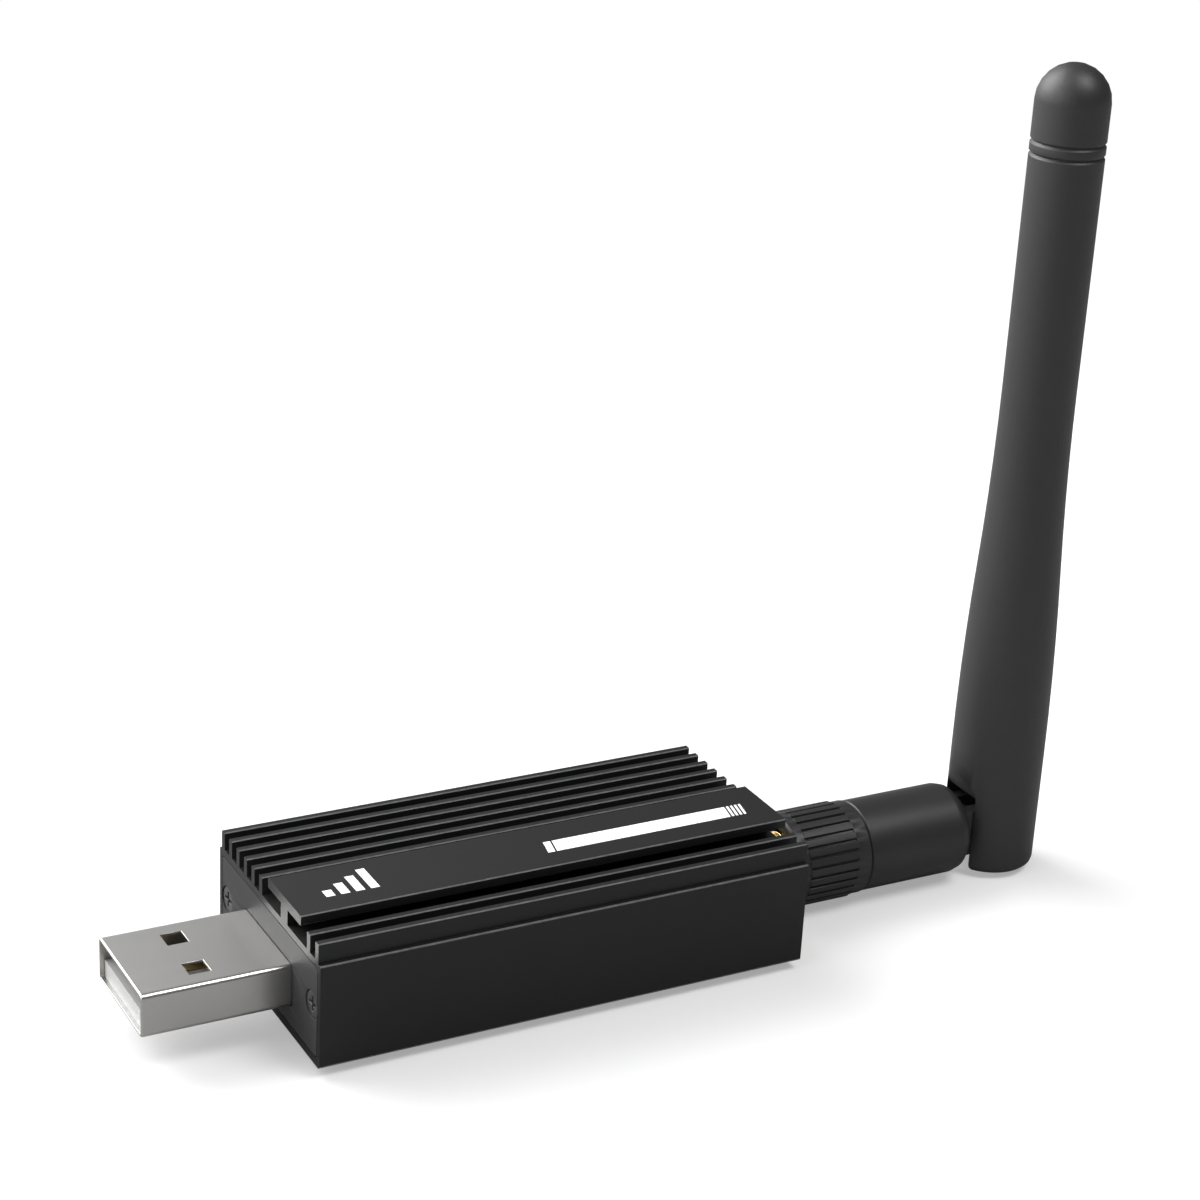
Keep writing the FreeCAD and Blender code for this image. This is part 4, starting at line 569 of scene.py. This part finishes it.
@dataclass
class SoftEdges:
    """Copies of nodes whose sharp edges are rounded, so that they catch the light as real edges do, and marked for
    a lighter edge colour that is partly wear and partly a painted highlight.

    Attributes:
        finishes: All the finishes by name.
        radii: How far the rounding reaches on each side of an edge, by node.
        seam_room: How near an end plate an edge counts as part of its seam.
        weld: How near corners are joined.
        flat: The angle up to which faces count as one plane.
        sharp: The angle from which an edge is rounded.
        rings: How many rows of faces a rounding has.
        square: The part of a normal along an axis up to which the face counts as square to that axis.
    """

    finishes: Materials
    radii: dict[str, float] = field(default_factory=lambda: {
        "housing_shell": 0.1 * MM,
        "front_end_plate": 0.07 * MM,
        "rear_end_plate": 0.07 * MM,
        "end_plate_screws": 0.05 * MM,
        "usb_plug_shell": 0.04 * MM,
        "usb_tongue": 0.08 * MM,
        "coupling_nut_sleeve": 0.08 * MM,
        "elbow": 0.1 * MM,
        "whip_sleeve": 0.05 * MM,
    })
    seam_room: float = 0.2 * MM
    weld: float = 0.0005 * MM
    flat: float = math.radians(0.1)
    sharp: float = math.radians(35.0)
    rings: int = 2
    square: float = 0.1

    PLAIN_FACE = 0
    ROUND_FACE = 1

    def build(self) -> dict[str, bpy.types.Object]:
        """Builds the copies.

        Returns:
            The piece that stands for each node.
        """
        plates = [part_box(plate) for plate in ("front_end_plate", "rear_end_plate")]
        pieces = {}
        for node, radius in self.radii.items():
            piece = self._rounded(node, radius)
            self._mark_edges(piece.data, plates, extruded=node == "housing_shell")
            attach(piece, body_of(node))
            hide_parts(node)
            pieces[node] = piece
        return pieces

    def _merged(self, node: str) -> bpy.types.Mesh:
        """Copies a node's mesh and joins what lies in one plane.

        Args:
            node: The node to copy.

        Returns:
            The mesh, with a material place for plain faces and one for roundings.
        """
        shell = bmesh.new()
        shell.from_mesh(frame["nodes"][node].data)
        bmesh.ops.remove_doubles(shell, verts=shell.verts, dist=self.weld)
        bmesh.ops.dissolve_limit(shell, angle_limit=self.flat, verts=shell.verts, edges=shell.edges)
        # A ring that is one face would be filled across its hole.
        bmesh.ops.connect_verts_concave(shell, faces=shell.faces[:])
        for face in shell.faces:
            face.smooth = True
            face.material_index = self.PLAIN_FACE
        mesh = bpy.data.meshes.new(f"{node}_plain")
        shell.to_mesh(mesh)
        shell.free()
        for _ in (self.PLAIN_FACE, self.ROUND_FACE):
            mesh.materials.append(None)
        return mesh

    def _rounded(self, node: str, radius: float) -> bpy.types.Object:
        """Copies a node and rounds its sharp edges.

        Args:
            node: The node to copy.
            radius: How far the rounding reaches on each side of an edge.

        Returns:
            The copy.
        """
        plain = self._merged(node)
        source = add_object(plain.name, plain)
        rounding = source.modifiers.new("rounding", "BEVEL")
        rounding.width = radius
        rounding.segments = self.rings
        rounding.limit_method = "ANGLE"
        rounding.angle_limit = self.sharp
        rounding.material = self.ROUND_FACE
        source.modifiers.new("even_shading", "WEIGHTED_NORMAL")
        shaped = source.evaluated_get(bpy.context.evaluated_depsgraph_get())
        mesh = bpy.data.meshes.new_from_object(shaped)
        bpy.data.objects.remove(source)
        bpy.data.meshes.remove(plain)
        mesh.name = f"{node}_rounded"
        return add_object(mesh.name, mesh)

    def _mark_edges(
        self, mesh: bpy.types.Mesh, plates: list[tuple[Vector, Vector]], extruded: bool
    ) -> None:
        """Writes which faces are roundings into the mesh, for the lighter edge colour, partly wear and partly a
        painted highlight.

        Args:
            mesh: The rounded mesh, with its new faces in the second material place.
            plates: The boxes of the end plates.
            extruded: Whether the curved faces of a shape extruded along X count too, which puts a painted
                highlight on its rounded long edges such as the ledges.
        """
        marks = mesh.attributes.new(Effects.EDGE_MARK, "FLOAT", "CORNER")
        for polygon in mesh.polygons:
            along, across, upward = (abs(part) for part in polygon.normal)
            # On the housing, the slanted faces of its long roundings take a painted highlight.
            curved = extruded and along < self.square < min(across, upward)
            rubbed_and_lit = polygon.material_index == self.ROUND_FACE or curved
            worn = rubbed_and_lit and not self._in_seam(polygon.center, plates)
            for corner in polygon.loop_indices:
                marks.data[corner].value = float(worn)
            polygon.material_index = self.PLAIN_FACE

    def _in_seam(self, place: Vector, plates: list[tuple[Vector, Vector]]) -> bool:
        """Finds whether a place lies in the seam round an end plate, where the edges get no lighter colour.

        Args:
            place: The place, in metres.
            plates: The boxes of the end plates.

        Returns:
            Whether it does.
        """
        room = self.seam_room
        return any(all(low[i] - room < place[i] < high[i] + room for i in range(3)) for low, high in plates)

    def dress(self, pieces: dict[str, bpy.types.Object]) -> None:
        """Gives each copy the finish of its node.

        Args:
            pieces: The piece that stands for each node.
        """
        slots = slot_of_nodes()
        for node, piece in pieces.items():
            give_finish(piece, self.finishes, slots[node])


@dataclass
class PlatformPrint:
    """White print on the platform: a plain strip with slanted bars, and a plain signal sign.

    Attributes:
        finishes: All the finishes by name.
        thickness: How thick the ink is.
        middle: The strip's middle line along Y.
        strip_start: Where the strip starts along X.
        strip_end: Where it ends.
        strip_width: How wide it is.
        lead_bar_width: The bar before the strip.
        bar_gap: The gap between the strip and the bars next to it.
        bar_width: A bar after the strip.
        bar_pitch: From one such bar to the next.
        bar_count: How many there are.
        slant: How far the far side of the strip and the bars is set along X.
        sign_start: Where the sign starts along X.
        sign_heights: How high its bars are.
        sign_bar_width: How wide they are.
        sign_pitch: From one to the next.
        sign_foot: Where they stand along Y.
    """

    finishes: Materials
    thickness: float = 0.012 * MM
    middle: float = -4.36 * MM
    strip_start: float = 1.9 * MM
    strip_end: float = 21.35 * MM
    strip_width: float = 2.1 * MM
    lead_bar_width: float = 0.75 * MM
    bar_gap: float = 0.2 * MM
    bar_width: float = 0.26 * MM
    bar_pitch: float = 0.46 * MM
    bar_count: int = 4
    slant: float = 0.45 * MM
    sign_start: float = -22.4 * MM
    sign_heights: tuple[float, ...] = (1.2 * MM, 2.1 * MM, 3.0 * MM, 3.9 * MM)
    sign_bar_width: float = 0.9 * MM
    sign_pitch: float = 1.5 * MM
    sign_foot: float = -5.5 * MM

    def build(self) -> bpy.types.Object:
        """Builds the print as thin plates of ink.

        Returns:
            The piece.
        """
        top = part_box("housing_shell")[1].z
        verts: list[Point] = []
        faces: list[tuple[int, ...]] = []
        for outline in [*self._strip(), *self._sign()]:
            first = len(verts)
            count = len(outline)
            verts += [(x, y, top) for x, y in outline]
            verts += [(x, y, top + self.thickness) for x, y in outline]
            faces.append(tuple(range(first + count, first + 2 * count)))
            faces.append(tuple(range(first + count - 1, first - 1, -1)))
            for i in range(count):
                j = (i + 1) % count
                faces.append((first + i, first + j, first + count + j, first + count + i))
        piece = mesh_piece("platform_print", verts, faces)
        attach(piece, "stick")
        return piece

    def _strip(self) -> list[Outline]:
        """Draws the strip, the bars after it and the bar before it."""
        outlines = [self._slanted(self.strip_start, self.strip_end)]
        for step in range(self.bar_count):
            start = self.strip_end + self.bar_gap + self.bar_pitch * step
            outlines.append(self._slanted(start, start + self.bar_width))
        end = self.strip_start - self.bar_gap
        return [*outlines, self._slanted(end - self.lead_bar_width, end)]

    def _slanted(self, start: float, end: float) -> Outline:
        """Draws one slanted field of the strip.

        Args:
            start: Where it starts along X on the middle line.
            end: Where it ends there.

        Returns:
            Its outline.
        """
        low, high = self.middle - self.strip_width / 2, self.middle + self.strip_width / 2
        lean = self.slant / 2
        return [(start - lean, low), (end - lean, low), (end + lean, high), (start + lean, high)]

    def _sign(self) -> list[Outline]:
        """Draws upright bars of rising height."""
        outlines = []
        for step, height in enumerate(self.sign_heights):
            start = self.sign_start + self.sign_pitch * step
            end = start + self.sign_bar_width
            top = self.sign_foot + height
            outlines.append([(start, self.sign_foot), (end, self.sign_foot), (end, top), (start, top)])
        return outlines

    def dress(self, piece: bpy.types.Object) -> None:
        """Gives the print its white."""
        give_finish(piece, self.finishes, "tongue_white", finish="print_white")


@dataclass
class ThreadedJack:
    """The antenna connector's body with its thread cut, in place of the plain cylinder.

    Attributes:
        finishes: All the finishes by name.
        node: The node that it stands for.
        major: The radius over the thread's crests.
        depth: From crest to root.
        pitch: From one turn to the next.
        flat: From the axis to the flat on the underside.
        lead_in: How much of the front is left plain.
        fade_out: How far before the lead-in the thread starts to fade, as a share of the pitch.
        crest: How wide a crest is, as a share of half the pitch.
        flank: How wide a flank is, as a share of half the pitch.
        columns: Faces round one turn.
        rows_per_turn: Faces along one pitch.
        skin: How far from the plain outside a corner may lie and still belong to it.
        weld: How near corners are joined.
        square: The part of a normal along X up to which the face counts as lying along X.
    """

    finishes: Materials
    node: str = "coax_jack_body"
    major: float = 3.175 * MM
    depth: float = 0.38 * MM
    pitch: float = 25.4 / 36 * MM
    flat: float = 2.85 * MM
    lead_in: float = 0.3 * MM
    fade_out: float = 0.6
    crest: float = 0.12
    flank: float = 0.74
    columns: int = 72
    rows_per_turn: int = 14
    skin: float = 0.012 * MM
    weld: float = 0.0005 * MM
    square: float = 0.1

    def build(self) -> bpy.types.Object:
        """Copies the node, takes its plain outside off and puts a cut thread there.

        Returns:
            The piece that stands for the node.
        """
        axis_z = joint_place("antenna_swivel").z
        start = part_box("rear_end_plate")[0].x
        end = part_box(self.node)[1].x - self.lead_in
        shell = bmesh.new()
        shell.from_mesh(frame["nodes"][self.node].data)
        bmesh.ops.remove_doubles(shell, verts=shell.verts, dist=self.weld)
        plain = [face for face in shell.faces if self._is_outside(face, axis_z, start, end)]
        bmesh.ops.delete(shell, geom=plain, context="FACES")
        rims = [edge for edge in shell.edges if edge.is_boundary]
        rings = self._cut_thread(shell, axis_z, start, end)
        self._join(shell, rims, rings)
        mesh = bpy.data.meshes.new("coax_jack_threaded")
        shell.to_mesh(mesh)
        shell.free()
        piece = add_object(mesh.name, mesh)
        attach(piece, "stick")
        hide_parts(self.node)
        return piece

    def _is_outside(self, face: bmesh.types.BMFace, axis_z: float, start: float, end: float) -> bool:
        """Finds whether a face lies on the plain outside or on its flat.

        Args:
            face: The face.
            axis_z: Height of the connector's axis.
            start: Where the thread starts along X.
            end: Where it ends.

        Returns:
            Whether it does.
        """
        for vert in face.verts:
            place = vert.co
            if not start - self.skin <= place.x <= end + self.skin:
                return False
            radius = math.hypot(place.y, place.z - axis_z)
            on_flat = abs(place.z - axis_z + self.flat) < self.skin
            if abs(radius - self.major) > self.skin and not on_flat:
                return False
        return abs(face.normal.x) < self.square

    def _cut_thread(self, shell: bmesh.types.BMesh, axis_z: float, start: float, end: float) -> list[Edges]:
        """Adds the thread as a grid whose radius follows the turns.

        Args:
            shell: The mesh to add to.
            axis_z: Height of the connector's axis.
            start: Where the thread starts along X.
            end: Where it ends.

        Returns:
            The edges of the first ring and of the last.
        """
        rows = math.ceil((end - start) / self.pitch * self.rows_per_turn)
        grid = []
        for row in range(rows + 1):
            x = start + (end - start) * row / rows
            fade = min(1.0, (x - start) / self.pitch, (end - x) / (self.pitch * self.fade_out))
            ring = []
            for column in range(self.columns):
                turn = column / self.columns
                radius = self.major - self.depth * fade * self._groove(x / self.pitch - turn)
                angle = turn * math.tau
                z = max(radius * math.cos(angle), -self.flat)
                ring.append(shell.verts.new((x, radius * math.sin(angle), axis_z + z)))
            grid.append(ring)
        for low, high in zip(grid, grid[1:]):
            for column in range(self.columns):
                following = (column + 1) % self.columns
                face = shell.faces.new((low[column], high[column], high[following], low[following]))
                face.smooth = True
        return [
            [shell.edges.get((ring[i], ring[i - 1])) for i in range(self.columns)]
            for ring in (grid[0], grid[-1])
        ]

    def _join(self, shell: bmesh.types.BMesh, rims: Edges, rings: list[Edges]) -> None:
        """Joins the thread's end rings to the rims that the plain outside left.

        Args:
            shell: The mesh that holds both.
            rims: The edges round what was taken off.
            rings: The edges of the first ring and of the last.
        """
        for ring in rings:
            place = ring[0].verts[0].co.x
            rim = [edge for edge in rims if all(abs(v.co.x - place) < self.weld for v in edge.verts)]
            if rim:
                bmesh.ops.bridge_loops(shell, edges=ring + rim)

    def _groove(self, phase: float) -> float:
        """Finds the depth of the thread at a phase, from 0 at the crest to 1 at the root."""
        wave = abs((phase % 1.0) * 2.0 - 1.0)
        return min(1.0, max(0.0, (wave - self.crest) / self.flank))

    def dress(self, piece: bpy.types.Object) -> None:
        """Gives the connector its gold."""
        give_finish(piece, self.finishes, "jack_gold")


@dataclass
class FeedCable:
    """The thin cable through the elbow, round the hinge and up the whip.

    Attributes:
        finishes: All the finishes by name.
        node: The node that it stands for.
        bend: The radius of its middle line round the hinge.
        sides: Faces round it.
        straight_steps: Faces along each straight stretch.
        bend_steps: Faces along the bend.
    """

    finishes: Materials
    node: str = "feed_cable"
    bend: float = 3.5 * MM
    sides: int = 20
    straight_steps: int = 8
    bend_steps: int = 14

    def build(self) -> bpy.types.Object:
        """Builds the cable as a round tube along its path.

        Returns:
            The piece that stands for the node.
        """
        hinge = joint_place("antenna_tilt")
        low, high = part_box(self.node)
        radius = (high.y - low.y) / 2
        path, headings = self._path(hinge, low.x, high.z)
        verts: list[Point] = []
        for place, heading in zip(path, headings):
            side = Vector((0.0, 1.0, 0.0))
            up = heading.cross(side)
            for step in range(self.sides):
                angle = step / self.sides * math.tau
                verts.append(tuple(place + (side * math.cos(angle) + up * math.sin(angle)) * radius))
        faces = [tuple(range(self.sides)), tuple(reversed(range(len(verts) - self.sides, len(verts))))]
        for ring in range(len(path) - 1):
            for step in range(self.sides):
                following = (step + 1) % self.sides
                a, b = ring * self.sides + step, ring * self.sides + following
                faces.append((a, a + self.sides, b + self.sides, b))
        piece = mesh_piece("feed_cable_sheath", verts, faces)
        for polygon in piece.data.polygons:
            polygon.use_smooth = len(polygon.vertices) == 4
        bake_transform(piece)
        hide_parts(self.node)
        return piece

    def _path(self, hinge: Vector, start: float, top: float) -> tuple[list[Vector], list[Vector]]:
        """Works out the cable's middle line.

        Args:
            hinge: A point on the hinge axis.
            start: Where the cable starts along X.
            top: Where it ends along Z.

        Returns:
            The points and the heading at each.
        """
        points, headings = [], []
        for step in range(self.straight_steps):
            x = start + (hinge.x - self.bend - start) * step / self.straight_steps
            points.append(Vector((x, 0.0, hinge.z)))
            headings.append(Vector((1.0, 0.0, 0.0)))
        for step in range(self.bend_steps + 1):
            turn = step / self.bend_steps * math.pi / 2
            x = hinge.x - self.bend + self.bend * math.sin(turn)
            z = hinge.z + self.bend - self.bend * math.cos(turn)
            points.append(Vector((x, 0.0, z)))
            headings.append(Vector((math.cos(turn), 0.0, math.sin(turn))))
        for step in range(1, self.straight_steps + 1):
            z = hinge.z + self.bend + (top - hinge.z - self.bend) * step / self.straight_steps
            points.append(Vector((hinge.x, 0.0, z)))
            headings.append(Vector((0.0, 0.0, 1.0)))
        return points, headings

    def dress(self, piece: bpy.types.Object) -> None:
        """Gives the cable its brown sheath."""
        give_finish(piece, self.finishes, "cable_brown")


@dataclass(frozen=True)
class SoftBox:
    """One soft studio lamp: its place, its aim and its size in metres, and its power in watts."""

    name: str
    place: Point
    aim: Point
    size: tuple[float, float]
    power: float

    def build(self) -> None:
        """Hangs the lamp and turns it to its aim."""
        light = bpy.data.lights.new(self.name, "AREA")
        light.shape = "RECTANGLE"
        light.size, light.size_y = self.size
        light.energy = self.power
        lamp = add_object(self.name, light)
        lamp.location = self.place
        lamp.rotation_euler = (Vector(self.aim) - Vector(self.place)).to_track_quat("-Z", "Y").to_euler()


@dataclass
class Studio:
    """A pale floor, soft lamps and a room that is lighter on the plug's side.

    Attributes:
        floor_level: Height of the floor.
        floor_reach: How far it goes from the middle.
        floor_shade: How light it is.
        mirrored_shade: How light it is in what mirrors it.
        glow_near: How much of it glows for the camera near the stick.
        glow_reach: Where the glow starts to grow, and from where on the floor only glows.
        lamps: The lamps.
        bright_side: The way to the room's bright side.
        room_range: Where along that way the light starts to grow and where it is full.
        room_levels: The light of the dim side and of the bright side.
    """

    floor_level: float = -1.02 * MM
    floor_reach: float = 4.0
    floor_shade: float = 0.82
    mirrored_shade: float = 0.3
    glow_near: float = 0.34
    glow_reach: tuple[float, float] = (0.12, 0.42)
    lamps: tuple[SoftBox, ...] = (
        SoftBox("key_lamp", (-0.42, 0.66, 0.66), (0.02, 0.0, 0.02), (0.8, 0.8), 12.0),
        SoftBox("top_lamp", (0.26, -0.34, 0.85), (0.04, 0.0, 0.02), (0.4, 0.4), 5.0),
    )
    bright_side: Point = (-0.84, 0.543, 0.0)
    room_range: tuple[float, float] = (-0.05, 1.0)
    room_levels: tuple[float, float] = (0.13, 2.8)

    def build(self) -> None:
        """Builds the floor, the lamps and the room."""
        self._floor()
        for lamp in self.lamps:
            lamp.build()
        self._room()
        bpy.context.scene.view_settings.view_transform = "Standard"
        LOG.info("studio with %d lamps", len(self.lamps))

    def _floor(self) -> None:
        """Lays the floor."""
        reach = self.floor_reach
        corners = [(-reach, -reach), (reach, -reach), (reach, reach), (-reach, reach)]
        floor = mesh_piece("studio_floor", [(x, y, self.floor_level) for x, y in corners], [(0, 1, 2, 3)])
        floor.data.materials.append(self._floor_material())

    def _floor_material(self) -> bpy.types.Material:
        """Makes the floor glow for the camera, more so far away, and be darker in what mirrors it.

        Returns:
            The floor's material.
        """
        material = bpy.data.materials.new("studio_floor")
        material.use_nodes = True
        graph = Graph(material.node_tree)
        rays = graph.node("ShaderNodeLightPath")
        drop = graph.math("MULTIPLY", rays.outputs["Is Glossy Ray"], self.mirrored_shade - self.floor_shade)
        level = graph.math("ADD", drop, self.floor_shade)
        shade = graph.node("ShaderNodeCombineColor", Red=level, Green=level, Blue=level)
        matt = graph.node("ShaderNodeBsdfDiffuse", Color=shade.outputs[0])
        light = graph.node("ShaderNodeEmission", Color=WHITE, Strength=1.0)
        place = graph.node("ShaderNodeNewGeometry").outputs["Position"]
        away = graph.vectors("LENGTH", place).outputs["Value"]
        glow = graph.spread(away, self.glow_reach, (self.glow_near, 1.0))
        share = graph.math("MULTIPLY", rays.outputs["Is Camera Ray"], glow)
        mixed = graph.node("ShaderNodeMixShader", None, share, matt.outputs[0], light.outputs[0])
        graph.node("ShaderNodeOutputMaterial", Surface=mixed.outputs[0])
        return material

    def _room(self) -> None:
        """Lights the room, white to the camera and graded from side to side for what it lights."""
        world = bpy.data.worlds.new("studio_room")
        bpy.context.scene.world = world
        world.use_nodes = True
        graph = Graph(world.node_tree)
        way = graph.node("ShaderNodeTexCoord").outputs["Generated"]
        across = graph.vectors("DOT_PRODUCT", way, self.bright_side).outputs["Value"]
        graded = graph.spread(across, self.room_range, self.room_levels, Curve.EASED)
        seen = graph.node("ShaderNodeLightPath").outputs["Is Camera Ray"]
        strength = graph.mix(Mixed.FLOAT, seen, graded, 1.0)
        back = graph.node("ShaderNodeBackground", Color=WHITE, Strength=strength)
        graph.node("ShaderNodeOutputWorld", Surface=back.outputs[0])


@dataclass(frozen=True)
class PhotoCamera:
    """The camera at the photograph's place.

    Attributes:
        place: Where it stands, in metres.
        azimuth: Where it looks, in degrees from +Y towards +X.
        elevation: How far it looks down, in degrees.
        roll: How far it is rolled, in degrees.
        lens: Its focal length, in millimetres.
        sensor: The width of its picture, in millimetres.
        near: From how far it sees, in metres.
    """

    place: Point = (-0.112565, -0.216584, 0.138300)
    azimuth: float = 29.077
    elevation: float = 22.263
    roll: float = 3.165
    lens: float = 83.62
    sensor: float = 36.0
    near: float = 0.01

    def build(self) -> None:
        """Makes the scene's camera."""
        turn, drop, roll = (math.radians(a) for a in (self.azimuth, self.elevation, self.roll))
        forward = Vector((math.sin(turn) * math.cos(drop), math.cos(turn) * math.cos(drop), -math.sin(drop)))
        level = Vector((math.cos(turn), -math.sin(turn), 0.0))
        upright = level.cross(forward)
        right = level * math.cos(roll) + upright * math.sin(roll)
        above = right.cross(forward)
        data = bpy.data.cameras.new("photo_camera")
        data.sensor_fit = "HORIZONTAL"
        data.sensor_width = self.sensor
        data.lens = self.lens
        data.clip_start = self.near
        camera = add_object("photo_camera", data)
        columns = Matrix((right, above, -forward)).transposed().to_4x4()
        camera.matrix_world = Matrix.Translation(Vector(self.place)) @ columns
        bpy.context.scene.camera = camera


def main() -> None:
    """Builds the camera, the finishes, the pieces and the studio."""
    logging.basicConfig(level=logging.INFO, format="%(name)s: %(message)s")
    PhotoCamera().build()
    Effects.build()
    finishes = {finish.name: finish.build() for finish in FINISHES}
    for kind in (CarriedNodes, SoftEdges, PlatformPrint, ThreadedJack, FeedCable):
        part = kind(finishes)
        part.dress(part.build())
    Studio().build()


if __name__ == "__main__":
    main()
